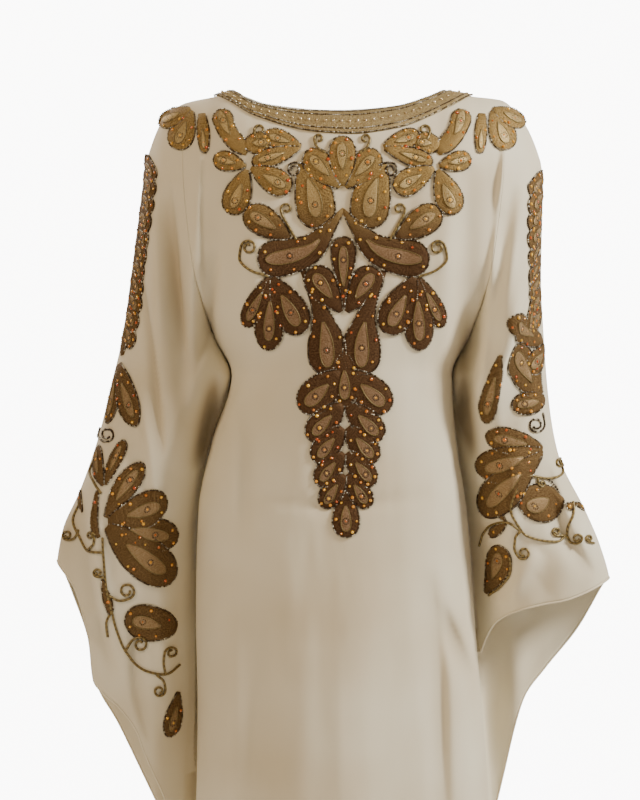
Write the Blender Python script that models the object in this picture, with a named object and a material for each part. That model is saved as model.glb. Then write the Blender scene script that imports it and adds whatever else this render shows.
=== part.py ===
"""A batwing kaftan of ivory crepe georgette, worn and hollow, with raised embroidery on its yoke and sleeves.

Metres, +Z up, the front faces -Y and the wearer's right is -X. The origin is midway between the two points where the
shoulder seams meet the neckline, where the wearer holds it up. The front and back halves meet at seams that all lie
in the plane y = 0. Tables are in millimetres.
"""

import functools
import math

import bmesh
import bpy
import numpy as np
from mathutils import Vector
from mathutils.bvhtree import BVHTree

MM = 0.001
CLOTH_WALL = 1.2 * MM
SEAM_GAP = 0.3 * MM
LENGTH = 1420
UNDERARM = -333
CHEST_BLEND_TOP = -200
SHOULDER_ROUNDING_FRONT = 110
SHOULDER_ROUNDING_BACK = 130
CAP_END = -100
ROUNDNESS = 2.4
APEX_RISE = 2.0
APEX_SPREAD = 12.0

PAD_LIFT = 0.7 * MM
PAD_CLEAR = 0.35 * MM
PAD_HEIGHT = 1.3 * MM
BAND_LIFT = 0.4 * MM
BAND_HEIGHT = 1.2 * MM
RING_PITCH = 20
HUB = 4.5
EYE = (-22.0, -2400.0, -364.0)
YOKE_MIDDLE_X = 4
YOKE_LEAN = 0.01
YOKE_GOLD_BOTTOM = -135

# How far down the neckline's curve still bends the rows of the body panels.
NECK_FADE = 150
ARMHOLE_ROWS = 10
BODY_LOWER_ROWS = 15
SLEEVE_LOWER_ROWS = 10
FRONT_COLUMNS = 20
BACK_COLUMNS = 14
SLEEVE_FRONT_COLUMNS = 13
SLEEVE_BACK_COLUMNS = 7
BAND_STATIONS = 26
PETAL_POINTS = 7
LEAF_START = 0.08
LEAF_END = 0.985
LEAF_ROWS = 10
LEAF_COLUMNS = 5
LEAF_SLIM = 1.6
SEATING_ROUNDS = 9
SAMPLES = 8


class Table:
    """Rows of numbers under named columns, read between the rows by a smooth curve that never overshoots them."""

    def __init__(self, names, rows):
        columns = np.array(sorted(rows), float).T
        self.columns = dict(zip(names.split(), columns))
        self.key = columns[0]

    def at(self, name, where):
        x, y = self.key, self.columns[name]
        step = np.diff(x)
        slope = np.diff(y) / step
        same = slope[1:] * slope[:-1] > 0
        inner = np.where(same, 2 * slope[1:] * slope[:-1] / np.where(same, slope[1:] + slope[:-1], 1), 0)
        slopes = np.concatenate([slope[:1], inner, slope[-1:]])
        where = np.clip(np.asarray(where, float), x[0], x[-1])
        i = np.clip(np.searchsorted(x, where) - 1, 0, len(x) - 2)
        t = (where - x[i]) / step[i]
        rise = (3 - 2 * t) * t * t
        return (
            y[i] * (1 - rise)
            + y[i + 1] * rise
            + step[i] * (slopes[i] * t * (1 - t) ** 2 - slopes[i + 1] * t * t * (1 - t))
        )


# The body as a tube: its armhole seams and, below the underarm, its side seams, and how far it stands in front of them
# and behind them.
BODY = Table(
    "z left right front back",
    [
        (-4, -184, 194, 112, 92),
        (-100, -181, 190, 116, 98),
        (-220, -166, 174, 122, 100),
        (-290, -147, 155, 124, 100),
        (-333, -128, 136, 124, 100),
        (-412, -151, 141, 121, 97),
        (-496, -168, 154, 119, 98),
        (-620, -171, 163, 121, 102),
        (-728, -169, 172, 126, 108),
        (-820, -170, 179, 132, 114),
        (-1100, -190, 200, 150, 132),
        (-1420, -222, 236, 172, 152),
    ],
)
# The wearer's right sleeve: the overarm fold, the underarm seam and the depths. The left sleeve has its own cut of drape.
SLEEVE_RIGHT = Table(
    "z outer inner front back",
    [
        (-100, -234, -181, 72, 62),
        (-220, -249, -166, 74, 64),
        (-290, -259, -147, 73, 62),
        (-333, -269, -128, 70, 60),
        (-412, -289, -156, 66, 56),
        (-472, -310, -168, 62, 52),
        (-520, -331, -174, 58, 48),
        (-560, -338, -175, 54, 44),
        (-728, -350, -177, 40, 34),
        (-904, -356, -193, 26, 24),
    ],
)
SLEEVE_LEFT = Table(
    "z outer inner front back",
    [
        (-100, 246, 190, 72, 62),
        (-220, 243, 174, 76, 64),
        (-290, 246, 155, 75, 63),
        (-333, 249, 136, 72, 60),
        (-380, 254, 145, 68, 58),
        (-430, 264, 150, 64, 54),
        (-496, 296, 159, 60, 50),
        (-538, 314, 163, 56, 46),
        (-576, 325, 167, 52, 44),
        (-676, 338, 173, 42, 38),
        (-818, 345, 185, 30, 28),
        (-872, 348, 191, 26, 24),
    ],
)
# The whole width across body and sleeves, above the underarm.
CHEST = Table(
    "z front back",
    [(0, 112, 92), (-60, 118, 100), (-140, 124, 106), (-230, 128, 106), (-333, 128, 102)],
)
# The line over both shoulders and down the sleeve heads, where the front meets the back.
SHOULDER = Table(
    "x z",
    [
        (-234, -100),
        (-226, -64),
        (-208, -25),
        (-184, -8),
        (-148, 0),
        (-127, 5),
        (0, 8),
        (127, 5),
        (163, 0),
        (194, -4),
        (218, -25),
        (242, -76),
        (246, -100),
    ],
)
NECK_FRONT = [(-127, 5), (-99, -17), (-46, -28), (7, -30), (61, -24), (103, -9), (127, 5)]
NECK_BACK = [(-127, 5), (-80, -5), (0, -10), (80, -5), (127, 5)]
BAND_FRONT_EDGE = [(-149, 0), (-124, -17), (-98, -35), (-23, -57), (16, -59), (65, -52), (128, -23), (161, 0)]
BAND_BACK_EDGE = [(-149, 0), (-120, -18), (-80, -29), (0, -35), (80, -29), (128, -18), (161, 0)]
SHOULDER_POINT_RIGHT = (-184, -8)
SHOULDER_POINT_LEFT = (194, -4)
CAP_RIGHT = (-226, -64)
CAP_LEFT = (242, -76)

# Free edges of the four sleeve halves, from the end of the overarm seam to the lowest point of the sleeve.
CUFF_RIGHT_FRONT = [
    (-337, -556), (-310, -592), (-294, -651), (-289, -695), (-278, -710), (-260, -726), (-239, -754), (-230, -780),
    (-205, -844), (-193, -904),
]
CUFF_RIGHT_BACK = [(-337, -556), (-322, -598), (-304, -652), (-292, -712), (-268, -754), (-240, -810), (-193, -904)]
CUFF_LEFT_FRONT = [(325, -576), (264, -600), (241, -604), (209, -613), (188, -628), (179, -648), (174, -668)]
CUFF_LEFT_BACK = [(325, -576), (292, -640), (252, -690), (226, -724), (214, -760), (203, -812), (191, -872)]

# Folds, each a soft ridge (+) or trough (-) along a line of three points: x1 z1 x2 z2 x3 z3 half_width height.
FOLDS_FRONT = [
    (-200, -118, -184, -262, -178, -400, 14, -10),
    (-218, -150, -208, -300, -192, -450, 18, 8),
    (-147, -110, -139, -190, -156, -360, 24, -8),
    (-284, -412, -286, -520, -284, -640, 20, 12),
    (-316, -470, -320, -540, -310, -620, 20, -10),
    (-236, -640, -232, -720, -214, -800, 18, 6),
    (226, -110, 198, -280, 162, -410, 18, 14),
    (252, -180, 228, -300, 190, -410, 15, -9),
    (150, -90, 143, -230, 146, -330, 17, -8),
    (128, -100, 122, -260, 122, -420, 14, 6),
    (300, -470, 290, -530, 240, -580, 20, 7),
    (112, -620, 136, -650, 156, -690, 15, -5),
    (140, -640, 148, -740, 146, -860, 16, 6),
    (-40, -640, -50, -900, -60, -1180, 40, 6),
    (70, -640, 84, -900, 96, -1180, 36, -6),
]
FOLDS_BACK = [
    (-196, -120, -184, -260, -178, -400, 14, -8),
    (-214, -160, -206, -320, -190, -460, 16, 7),
    (-150, -100, -142, -200, -156, -360, 20, -6),
    (206, -120, 196, -260, 180, -400, 16, -8),
    (226, -160, 214, -320, 188, -450, 16, 7),
    (158, -100, 150, -210, 156, -350, 20, -6),
    (-20, -120, -14, -360, -24, -620, 26, -5),
    (60, -420, 66, -800, 76, -1200, 34, 6),
    (-80, -460, -92, -820, -110, -1200, 34, 6),
    (-300, -440, -306, -520, -298, -610, 18, 7),
    (290, -440, 300, -520, 296, -600, 18, 7),
]
# Relief fades in over this depth from the seam plane, so that the two halves' edges meet.
RELIEF_FROM = 45
FLUTES = 9
FLUTE_TOP = -800
FLUTE_RUN = 620
FLUTE_HEIGHT = 11
BACK_FLUTE_TURN = 1

IVORY = (0.80, 0.76, 0.68)
ANTIQUE_GOLD = (0.36, 0.24, 0.09)
DARK_BRONZE = (0.12, 0.055, 0.025)
BAND_GOLD = (0.42, 0.30, 0.14)


def smooth(t):
    t = np.clip(t, 0, 1)
    return t * t * (3 - 2 * t)


def dome(across):
    """How far a tube stands out, from 0 at its two seams to 1 at its middle."""
    return np.sqrt(np.clip(1 - np.abs(across) ** ROUNDNESS, 0, 1))


def tube(x, left, right, depth):
    return depth * dome((x - (left + right) / 2) / ((right - left) / 2))


def sleeve_tube(x, z, sizes, side):
    outer, inner = sizes.at("outer", z), sizes.at("inner", z)
    reached = z >= sizes.key[0] - 1
    return reached * tube(x, np.minimum(outer, inner), np.maximum(outer, inner), sizes.at(side, z))


def along(x, z, points):
    """How far each place lies from a line, and where along it, from 0 to 1."""
    points = np.array(points, float)
    lengths = np.linalg.norm(np.diff(points, axis=0), axis=1)
    starts = np.concatenate([[0], np.cumsum(lengths)])
    nearest = np.full(np.shape(x), np.inf)
    place = np.zeros(np.shape(x))
    for a, b, start, length in zip(points[:-1], points[1:], starts, lengths):
        run = (b - a) / length
        t = np.clip((x - a[0]) * run[0] + (z - a[1]) * run[1], 0, length)
        away = np.hypot(x - a[0] - t * run[0], z - a[1] - t * run[1])
        closer = away < nearest
        nearest = np.where(closer, away, nearest)
        place = np.where(closer, (start + t) / starts[-1], place)
    return nearest, place


def folds(x, z, rows):
    height = np.zeros(np.shape(x))
    for x1, z1, x2, z2, x3, z3, half_width, most in rows:
        away, place = along(x, z, [(x1, z1), (x2, z2), (x3, z3)])
        ends = np.sin(np.pi * np.clip(place, 0.02, 0.98)) ** 0.7
        height += most * ends * np.exp(-((away / half_width) ** 2))
    return height


def depth(x, z, side):
    """Millimetres that the cloth stands in front of the seam plane (side front), or behind it (side back)."""
    x, z = np.broadcast_arrays(np.asarray(x, float), np.asarray(z, float))
    rounding = SHOULDER_ROUNDING_FRONT if side == "front" else SHOULDER_ROUNDING_BACK
    below = np.clip((SHOULDER.at("z", x) - z) / rounding, 0, 1)
    over_shoulder = np.sqrt(1 - (1 - below) ** 2)
    body = tube(x, BODY.at("left", z), BODY.at("right", z), BODY.at(side, z))
    arms = np.maximum(sleeve_tube(x, z, SLEEVE_RIGHT, side), sleeve_tube(x, z, SLEEVE_LEFT, side))
    tubes = np.maximum(body, arms)
    whole = tube(x, SLEEVE_RIGHT.at("outer", z), SLEEVE_LEFT.at("outer", z), CHEST.at(side, z))
    parted = smooth((CHEST_BLEND_TOP - z) / (CHEST_BLEND_TOP - UNDERARM))
    form = over_shoulder * ((1 - parted) * whole + parted * tubes)
    centre = (BODY.at("left", z) + BODY.at("right", z)) / 2
    angle = np.arctan2(x - centre, body + 1)
    turn = 0 if side == "front" else BACK_FLUTE_TURN
    flutes = FLUTE_HEIGHT * np.cos(FLUTES * angle + turn) * smooth((FLUTE_TOP - z) / FLUTE_RUN)
    relief = folds(x, z, FOLDS_FRONT if side == "front" else FOLDS_BACK)
    relief = relief + np.where(body > 0, flutes, 0)
    apexes = (BODY.at("left", UNDERARM), BODY.at("right", UNDERARM))
    apex = sum(np.exp(-((x - ax) ** 2 + (z - UNDERARM) ** 2) / APEX_SPREAD**2) for ax in apexes)
    return form + relief * smooth(form / RELIEF_FROM) + APEX_RISE * apex


def surface(x, z, side):
    """Points on the outer face of the cloth and the directions that they face, in metres."""
    step = 4.0
    sign = -1 if side == "front" else 1
    d = depth(x, z, side)
    slope_x = (depth(x + step, z, side) - depth(x - step, z, side)) / (2 * step)
    slope_z = (depth(x, z + step, side) - depth(x, z - step, side)) / (2 * step)
    points = np.stack([x, sign * d, z], -1) * MM
    facing = np.stack([-slope_x, np.full_like(d, sign), -slope_z], -1)
    return points, facing / np.linalg.norm(facing, axis=-1, keepdims=True)


def trace(points, stations):
    """Places along a smooth line through the points, at fractions of its length."""
    points = np.array(points, float)
    run = np.concatenate([[0], np.cumsum(np.linalg.norm(np.diff(points, axis=0), axis=1))])
    line = Table("s x z", [tuple(row) for row in np.column_stack([run, points])])
    where = np.asarray(stations, float) * run[-1]
    return np.stack([line.at("x", where), line.at("z", where)], -1)


def crowded(count, gather):
    """Fractions from 0 to 1, closer together at both ends where gather is near 1."""
    t = np.linspace(0, 1, count + 1)
    return (1 - gather) * t + gather * (0.5 - 0.5 * np.cos(np.pi * t))


def patch(first, last, top, bottom, across, fade_top, fade_bottom):
    """A grid of places between four edges: first and last run down its sides, top and bottom across it."""
    u = across[None, :, None]
    chords = first[:, None] * (1 - u) + last[:, None] * u
    over = top[None] - chords[:1]
    under = bottom[None] - chords[-1:]
    return chords + fade_top[:, None, None] * over + fade_bottom[:, None, None] * under


def material(name, color, roughness, metallic=0.0):
    made = bpy.data.materials.new(name)
    made.use_nodes = True
    shader = made.node_tree.nodes["Principled BSDF"]
    shader.inputs["Base Color"].default_value = (*color, 1)
    shader.inputs["Roughness"].default_value = roughness
    shader.inputs["Metallic"].default_value = metallic
    return made


def add_object(name, points, faces, dressed):
    mesh = bpy.data.meshes.new(name)
    mesh.from_pydata(points.reshape(-1, 3).tolist(), [], faces)
    grid = bmesh.new()
    grid.from_mesh(mesh)
    bmesh.ops.recalc_face_normals(grid, faces=grid.faces)
    grid.to_mesh(mesh)
    grid.free()
    mesh.shade_smooth()
    mesh.set_sharp_from_angle(angle=math.radians(50))
    mesh.materials.append(dressed)
    made = bpy.data.objects.new(name, mesh)
    bpy.context.scene.collection.objects.link(made)
    return made


def walled_grid(name, outer, inner, dressed):
    """A closed sheet from two matching grids of points, joined by a strip round their edges."""
    rows, columns = outer.shape[:2]
    index = np.arange(rows * columns).reshape(rows, columns)
    faces = []
    for i in range(rows - 1):
        for j in range(columns - 1):
            a, b, c, d = index[i, j], index[i, j + 1], index[i + 1, j + 1], index[i + 1, j]
            for face in ((a, b, c), (a, c, d)):
                faces.append(face)
                faces.append(tuple(rows * columns + k for k in reversed(face)))
    rim = [*index[0, :-1], *index[:-1, -1], *index[-1, :0:-1], *index[:0:-1, 0]]
    for a, b in zip(rim, rim[1:] + rim[:1]):
        faces.append((b, a, a + rows * columns, b + rows * columns))
    points = np.concatenate([outer.reshape(-1, 3), inner.reshape(-1, 3)])
    return add_object(name, points, [tuple(int(k) for k in face) for face in faces], dressed)


def keep_clear(points, side):
    """The same points, kept off the seam plane by half a seam's gap."""
    points = points.copy()
    if side == "front":
        points[..., 1] = np.minimum(points[..., 1], -SEAM_GAP / 2)
    else:
        points[..., 1] = np.maximum(points[..., 1], SEAM_GAP / 2)
    return points


def panel(name, grid, side, dressed):
    points, facing = surface(grid[..., 0], grid[..., 1], side)
    return walled_grid(name, keep_clear(points, side), keep_clear(points - CLOTH_WALL * facing, side), dressed)


def armhole_rows(top):
    """Heights of the rows from the shoulder point to the underarm."""
    return top + (UNDERARM - top) * np.linspace(0, 1, ARMHOLE_ROWS + 1) ** 1.15


def body_panel(name, side, columns, dressed):
    lower = np.linspace(0, 1, BODY_LOWER_ROWS + 1)[1:] ** 1.35 * -(LENGTH + UNDERARM) + UNDERARM
    gap = np.array([SEAM_GAP / MM / 2, 0])
    edges = []
    for wearer_side, column, top, inward in (
        ("right", "left", SHOULDER_POINT_RIGHT[1], gap),
        ("left", "right", SHOULDER_POINT_LEFT[1], -gap),
    ):
        z = np.concatenate([armhole_rows(top), lower])
        edge = np.stack([BODY.at(column, z), z], -1)
        edge[: ARMHOLE_ROWS + 1] += inward
        edges.append(edge)
    right, left = edges
    neck = NECK_FRONT if side == "front" else NECK_BACK
    across = crowded(columns, 0.62)
    top_line = [SHOULDER_POINT_RIGHT, (-148, 0), *neck, (163, 0), SHOULDER_POINT_LEFT]
    top = trace(top_line, across)
    on_shoulder = (top[:, 0] < neck[0][0]) | (top[:, 0] > neck[-1][0])
    top[:, 1] = np.where(on_shoulder, SHOULDER.at("z", top[:, 0]), top[:, 1])
    top[0], top[-1] = right[0], left[0]
    bottom = right[-1] * (1 - across[:, None]) + left[-1] * across[:, None]
    fade = 1 - smooth((right[0, 1] - right[:, 1]) / NECK_FADE)
    return panel(name, patch(right, left, top, bottom, across, fade, 0 * fade), side, dressed)


def sleeve_panel(name, side, wearer_side, cuff, columns, dressed):
    rows = ARMHOLE_ROWS + SLEEVE_LOWER_ROWS
    is_right = wearer_side == "right"
    sizes = SLEEVE_RIGHT if is_right else SLEEVE_LEFT
    shoulder, cap = (SHOULDER_POINT_RIGHT, CAP_RIGHT) if is_right else (SHOULDER_POINT_LEFT, CAP_LEFT)
    gap = np.array([(-1 if is_right else 1) * SEAM_GAP / MM / 2, 0])
    corner = cuff[0][1]
    over = np.linspace(cap[1], corner, rows + 1)
    outer_x = np.where(over > CAP_END, cap_edge(over, is_right), sizes.at("outer", over))
    outer = np.stack([outer_x, over], -1)
    lower = np.linspace(UNDERARM, cuff[-1][1], SLEEVE_LOWER_ROWS + 1)[1:]
    upper = armhole_rows(shoulder[1])
    armhole = np.stack([BODY.at("left" if is_right else "right", upper), upper], -1) + gap
    inner = np.concatenate([armhole, np.stack([sizes.at("inner", lower), lower], -1)])
    across = crowded(columns, 0.55)
    over_x = cap[0] + (shoulder[0] - cap[0]) * across
    head = np.stack([over_x, SHOULDER.at("z", over_x)], -1)
    head[0], head[-1] = outer[0], inner[0]
    hem = trace(cuff, across)
    hem[0], hem[-1] = outer[-1], inner[-1]
    v = np.linspace(0, 1, rows + 1)
    grid = patch(outer, inner, head, hem, across, (1 - v) ** 3, v**2.2)
    return panel(name, grid, side, dressed)


def cap_edge(z, is_right):
    """Where the shoulder line stands at a height, on the outer side of the sleeve head."""
    x = np.linspace(-234, -184, 60) if is_right else np.linspace(246, 194, 60)
    heights = SHOULDER.at("z", x)
    return np.interp(z, heights, x)


def laid(x, z, side, lift):
    points, facing = surface(x, z, side)
    return points + lift * facing


def toward_eye(x, z, side):
    """Where a place on the seam plane, looked at from the eye, meets the cloth."""
    px, pz = np.asarray(x, float), np.asarray(z, float)
    for _ in range(6):
        near = 1 - depth(px, pz, side) / -EYE[1] if side == "front" else 1
        px = EYE[0] + (x - EYE[0]) * near
        pz = EYE[2] + (z - EYE[2]) * near
    return px, pz


def band(name, neck, edge, side, dressed):
    stations = np.linspace(0.004, 0.996, BAND_STATIONS + 1)
    inner = trace(neck, stations)
    outer = trace(edge, stations)
    grid = np.stack([inner + (outer - inner) * t for t in (0.01, 0.5, 1)])
    low = keep_clear(laid(grid[..., 0], grid[..., 1], side, BAND_LIFT), side)
    high = keep_clear(laid(grid[..., 0], grid[..., 1], side, BAND_LIFT + BAND_HEIGHT), side)
    return walled_grid(name, high, low, dressed)


def fan_outline(petals, hub):
    """Angles round a hub, and how far the outline reaches at each. A petal is a cone from the hub to a round end."""
    lobes, angles = [], []
    for reach_x, reach_z, width in petals:
        length, direction = math.hypot(reach_x, reach_z), math.atan2(reach_z, reach_x)
        middle = length - width / 2
        half = math.asin(width / 2 / middle)
        turn = np.linspace(-1, 1, PETAL_POINTS) * (math.pi / 2 + half)
        angles.append(direction + np.arctan2(width / 2 * np.sin(turn), middle + width / 2 * np.cos(turn)))
        lobes.append((direction, middle, width / 2, half))
    angles = np.sort(np.mod(np.concatenate(angles), 2 * np.pi))
    kept = [angles[0]]
    for angle in angles[1:]:
        if angle - kept[-1] > math.radians(3.5):
            kept.append(angle)
    spread = []
    for angle, following in zip(kept, kept[1:] + [kept[0] + 2 * np.pi]):
        spread.append(angle)
        parts = int((following - angle) / math.radians(75)) + 1
        spread.extend(angle + (following - angle) * k / parts for k in range(1, parts))
    angles = np.array(spread)
    reach = np.full(len(angles), float(hub))
    for direction, middle, radius, half in lobes:
        turned = (angles - direction + np.pi) % (2 * np.pi) - np.pi
        inside = np.clip(radius**2 - (middle * np.sin(turned)) ** 2, 0, None)
        far = middle * np.cos(turned) + np.sqrt(inside)
        reach = np.where(np.abs(turned) <= half * 1.001, np.maximum(reach, far), reach)
    return angles, reach


def face_samples(count):
    """Weights of places spread over a triangle, as shares of its three corners."""
    rows = [(a, b, count - a - b) for a in range(count + 1) for b in range(count + 1 - a)]
    return np.array(rows, float) / count


def seated(points, faces, tree, side):
    """The pad's under side, raised wherever a facet of the cloth would come nearer to it than the clearance."""
    points = points.copy()
    out = -1 if side == "front" else 1
    shares = face_samples(SAMPLES)
    for _ in range(SEATING_ROUNDS):
        raised = np.zeros(len(points))
        for face in faces:
            lacking = 0.0
            for place in shares @ points[list(face)]:
                hit, facing, _, _ = tree.ray_cast(Vector((place[0], out, place[2])), Vector((0, -out, 0)))
                if hit is not None:
                    clear = PAD_CLEAR / max(abs(facing.y), 0.3)
                    lacking = max(lacking, clear - out * (place[1] - hit.y))
            for index in face:
                raised[index] = max(raised[index], lacking)
        points[:, 1] += out * raised
    return points


def fan_places(root, tips, hub):
    """Places of a fan of petals on rings round its root, its top faces and its edge in order."""
    angles, reach = fan_outline([(x - root[0], z - root[1], width) for x, z, width in tips], hub)
    rings = max(2, round(max(reach) / RING_PITCH))
    shares = [k / rings for k in range(1, rings + 1)]
    x = np.concatenate([[root[0]], *(root[0] + reach * share * np.cos(angles) for share in shares)])
    z = np.concatenate([[root[1]], *(root[1] + reach * share * np.sin(angles) for share in shares)])
    count = len(angles)
    faces = []
    for k in range(count):
        after = (k + 1) % count
        faces.append((0, 1 + k, 1 + after))
        for ring in range(rings - 1):
            a, b = 1 + ring * count + k, 1 + ring * count + after
            faces += [(a, a + count, b + count), (a, b + count, b)]
    last = 1 + (rings - 1) * count
    return x, z, faces, [last + k for k in range(count)]


def leaf_places(root, tip, bend):
    """Places of one bent petal in rows across its axis, its top faces and its edge in order."""
    share = 1 - (1 - np.linspace(LEAF_START, LEAF_END, LEAF_ROWS)) ** 1.8
    across = np.sin(np.linspace(-1, 1, LEAF_COLUMNS) * math.pi / 2)
    s, t = np.meshgrid(share, across, indexing="ij")
    reach_x, reach_z, width = tip[0] - root[0], tip[1] - root[1], tip[2]
    turn = math.radians(bend) * (1 if reach_x < 0 else -1)
    angle = math.atan2(reach_z, reach_x) + turn * (1 - s)
    heading = angle - np.arctan(turn * s)
    widest = LEAF_SLIM / (LEAF_SLIM + 0.5)
    half = width / 2 * s**LEAF_SLIM * np.sqrt(1 - s) / (widest**LEAF_SLIM * math.sqrt(1 - widest))
    x = root[0] + math.hypot(reach_x, reach_z) * s * np.cos(angle) - half * t * np.sin(heading)
    z = root[1] + math.hypot(reach_x, reach_z) * s * np.sin(angle) + half * t * np.cos(heading)
    index = np.arange(x.size).reshape(x.shape)
    faces = []
    for i in range(LEAF_ROWS - 1):
        for j in range(LEAF_COLUMNS - 1):
            a, b, c, d = index[i, j], index[i, j + 1], index[i + 1, j + 1], index[i + 1, j]
            faces += [(a, b, c), (a, c, d)]
    rim = [*index[0, :-1], *index[:-1, -1], *index[-1, :0:-1], *index[:0:-1, 0]]
    return x.ravel(), z.ravel(), faces, rim


def pad(name, motif, place, side, trees, dressed):
    """A raised pad of petals from one root. Each petal is given by its tip's x and z, and its width."""
    root = place(*motif.root)
    tips = [(*place(x, z), width) for x, z, width in motif.petals]
    if motif.bend:
        x, z, faces, rim = leaf_places(root, tips[0], motif.bend)
    else:
        x, z, faces, rim = fan_places(root, tips, HUB)
    px, pz = toward_eye(x, z, side)
    points, facing = surface(px, pz, side)
    total = len(x)
    low = seated(keep_clear(points + PAD_LIFT * facing, side), faces, trees[side], side)
    high = low + PAD_HEIGHT * facing
    under = [tuple(total + index for index in reversed(face)) for face in faces]
    sides = [(b, a, total + a, total + b) for a, b in zip(rim, rim[1:] + rim[:1])]
    rows = [tuple(int(k) for k in face) for face in faces + under + sides]
    return add_object(name, np.concatenate([high, low]), rows, dressed)


class Motif:
    """A fan of petals: its root, each petal's tip and width, and how many degrees a single petal curves."""

    def __init__(self, root, petals, bend=0):
        self.root, self.petals, self.bend = root, petals, bend


# Yoke motifs of one half: the root's distance out from the yoke's middle line and its height, then each petal's tip and
# width. They are laid out flat on the seam plane and carried to the cloth along the line of sight.
YOKE_SIDES = {
    "applique_shoulder": Motif((172, -22), [(196, -59, 30), (166, -66, 14), (202, -26, 13)]),
    "applique_scroll_leaf": Motif((133, -60), [(146, -12, 26), (98, -52, 24)]),
    "applique_bud": Motif((44, -63), [(91, -41, 22), (102, -79, 18)]),
    "applique_cluster": Motif((115, -88), [(152, -77, 21), (134, -138, 29), (65, -112, 27)]),
    "applique_paisley_high": Motif((47, -86), [(29, -150, 40)]),
    "applique_leaf": Motif((70, -160), [(112, -136, 29)]),
    "applique_wing": Motif((6, -143), [(98, -203, 46)], 22),
    "applique_hanging_fan": Motif((90, -226), [(117, -272, 17), (91, -298, 30), (58, -276, 28)]),
    "applique_paisley_low": Motif((49, -226), [(21, -332, 44)], -12),
}
YOKE_MIDDLE = {
    "applique_heart": Motif((0, -103), [(0, -52, 30), (40, -70, 25), (-40, -70, 25)]),
    "applique_crown": Motif((0, -258), [(0, -171, 32), (37, -216, 30), (-37, -216, 30)]),
    "applique_chain_1": Motif((0, -339), [(46, -371, 34), (-46, -371, 34)]),
    "applique_chain_2": Motif((0, -374), [(37, -407, 26), (-37, -407, 26)]),
    "applique_chain_3": Motif((0, -411), [(30, -436, 21), (-30, -436, 21)]),
    "applique_chain_4": Motif((0, -440), [(28, -461, 18), (-28, -461, 18)]),
    "applique_chain_5": Motif((0, -467), [(24, -487, 17), (-24, -487, 17)]),
    "applique_drop": Motif((0, -493), [(0, -527, 26)]),
}
# Sleeve motifs of the front halves, laid out on the seam plane in the same way.
SLEEVE_MOTIFS = {
    "applique_sleeve_right_high": Motif((-254, -314), [(-271, -386, 27), (-240, -392, 27), (-256, -256, 22)]),
    "applique_sleeve_right_fan": Motif(
        (-278, -506),
        [(-270, -430, 25), (-240, -446, 30), (-208, -490, 42), (-202, -530, 28), (-206, -574, 38)],
    ),
    "applique_sleeve_right_eye": Motif((-200, -637), [(-252, -625, 34)]),
    "applique_sleeve_right_cuff": Motif((-202, -716), [(-208, -762, 16)]),
    "applique_sleeve_left_strip": Motif((229, -196), [(228, -146, 14), (226, -252, 20)]),
    "applique_sleeve_left_high": Motif((234, -300), [(200, -272, 24), (200, -308, 22)]),
    "applique_sleeve_left_mid": Motif((238, -364), [(204, -334, 30), (200, -379, 20)]),
    "applique_sleeve_left_slip": Motif((192, -322), [(178, -384, 16)]),
    "applique_sleeve_left_fan": Motif((238, -424), [(183, -410, 27), (178, -447, 31)]),
    "applique_sleeve_left_eye": Motif((264, -474), [(224, -494, 36)]),
    "applique_sleeve_left_loop": Motif((178, -584), [(196, -543, 22)]),
}
# The embroidery is centred on the overarm seam, so the back halves carry its other side.
BACK_MOTIFS = {
    "applique_back_right_high": Motif((-246, -300), [(-262, -372, 27), (-226, -376, 27)]),
    "applique_back_right_fan": Motif(
        (-288, -500),
        [(-262, -432, 24), (-234, -450, 30), (-218, -492, 36), (-222, -545, 36)],
    ),
    "applique_back_right_eye": Motif((-214, -634), [(-264, -622, 32)]),
    "applique_back_left_high": Motif((228, -286), [(206, -352, 27), (236, -352, 24)]),
    "applique_back_left_fan": Motif(
        (262, -456),
        [(218, -404, 28), (196, -444, 36), (198, -494, 38), (230, -528, 34)],
    ),
    "applique_back_left_eye": Motif((238, -640), [(206, -600, 30)]),
}


def build_panels(cloth):
    """The six panels, and one search tree of the front ones and one of the back ones."""
    sheets = {
        "front": [body_panel("front", "front", FRONT_COLUMNS, cloth)],
        "back": [body_panel("back", "back", BACK_COLUMNS, cloth)],
    }
    halves = (
        ("sleeve_right_front", "front", "right", CUFF_RIGHT_FRONT, SLEEVE_FRONT_COLUMNS),
        ("sleeve_right_back", "back", "right", CUFF_RIGHT_BACK, SLEEVE_BACK_COLUMNS),
        ("sleeve_left_front", "front", "left", CUFF_LEFT_FRONT, SLEEVE_FRONT_COLUMNS),
        ("sleeve_left_back", "back", "left", CUFF_LEFT_BACK, SLEEVE_BACK_COLUMNS),
    )
    for name, side, wearer_side, cuff, columns in halves:
        sheets[side].append(sleeve_panel(name, side, wearer_side, cuff, columns, cloth))
    return {side: tree_of(objects) for side, objects in sheets.items()}


def tree_of(objects):
    points, faces = [], []
    for obj in objects:
        start = len(points)
        points.extend(tuple(v.co) for v in obj.data.vertices)
        faces.extend([start + index for index in polygon.vertices] for polygon in obj.data.polygons)
    return BVHTree.FromPolygons(points, faces)


def build_motifs(trees, gold, bronze):
    for name, motif in YOKE_SIDES.items():
        finish = gold if motif.root[1] > YOKE_GOLD_BOTTOM else bronze
        for wearer_side, sign in (("right", -1), ("left", 1)):
            place = functools.partial(yoke_place, sign)
            pad(f"{name}_{wearer_side}", motif, place, "front", trees, finish)
    for name, motif in YOKE_MIDDLE.items():
        finish = gold if motif.root[1] > YOKE_GOLD_BOTTOM else bronze
        pad(name, motif, functools.partial(yoke_place, 1), "front", trees, finish)
    for name, motif in SLEEVE_MOTIFS.items():
        pad(name, motif, as_given, "front", trees, bronze)
    for name, motif in BACK_MOTIFS.items():
        pad(name, motif, as_given, "back", trees, bronze)


def yoke_place(sign, out, z):
    """A place of the yoke, whose middle line leans a little toward the wearer's left on its way down."""
    return YOKE_MIDDLE_X - YOKE_LEAN * z + sign * out, z


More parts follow.
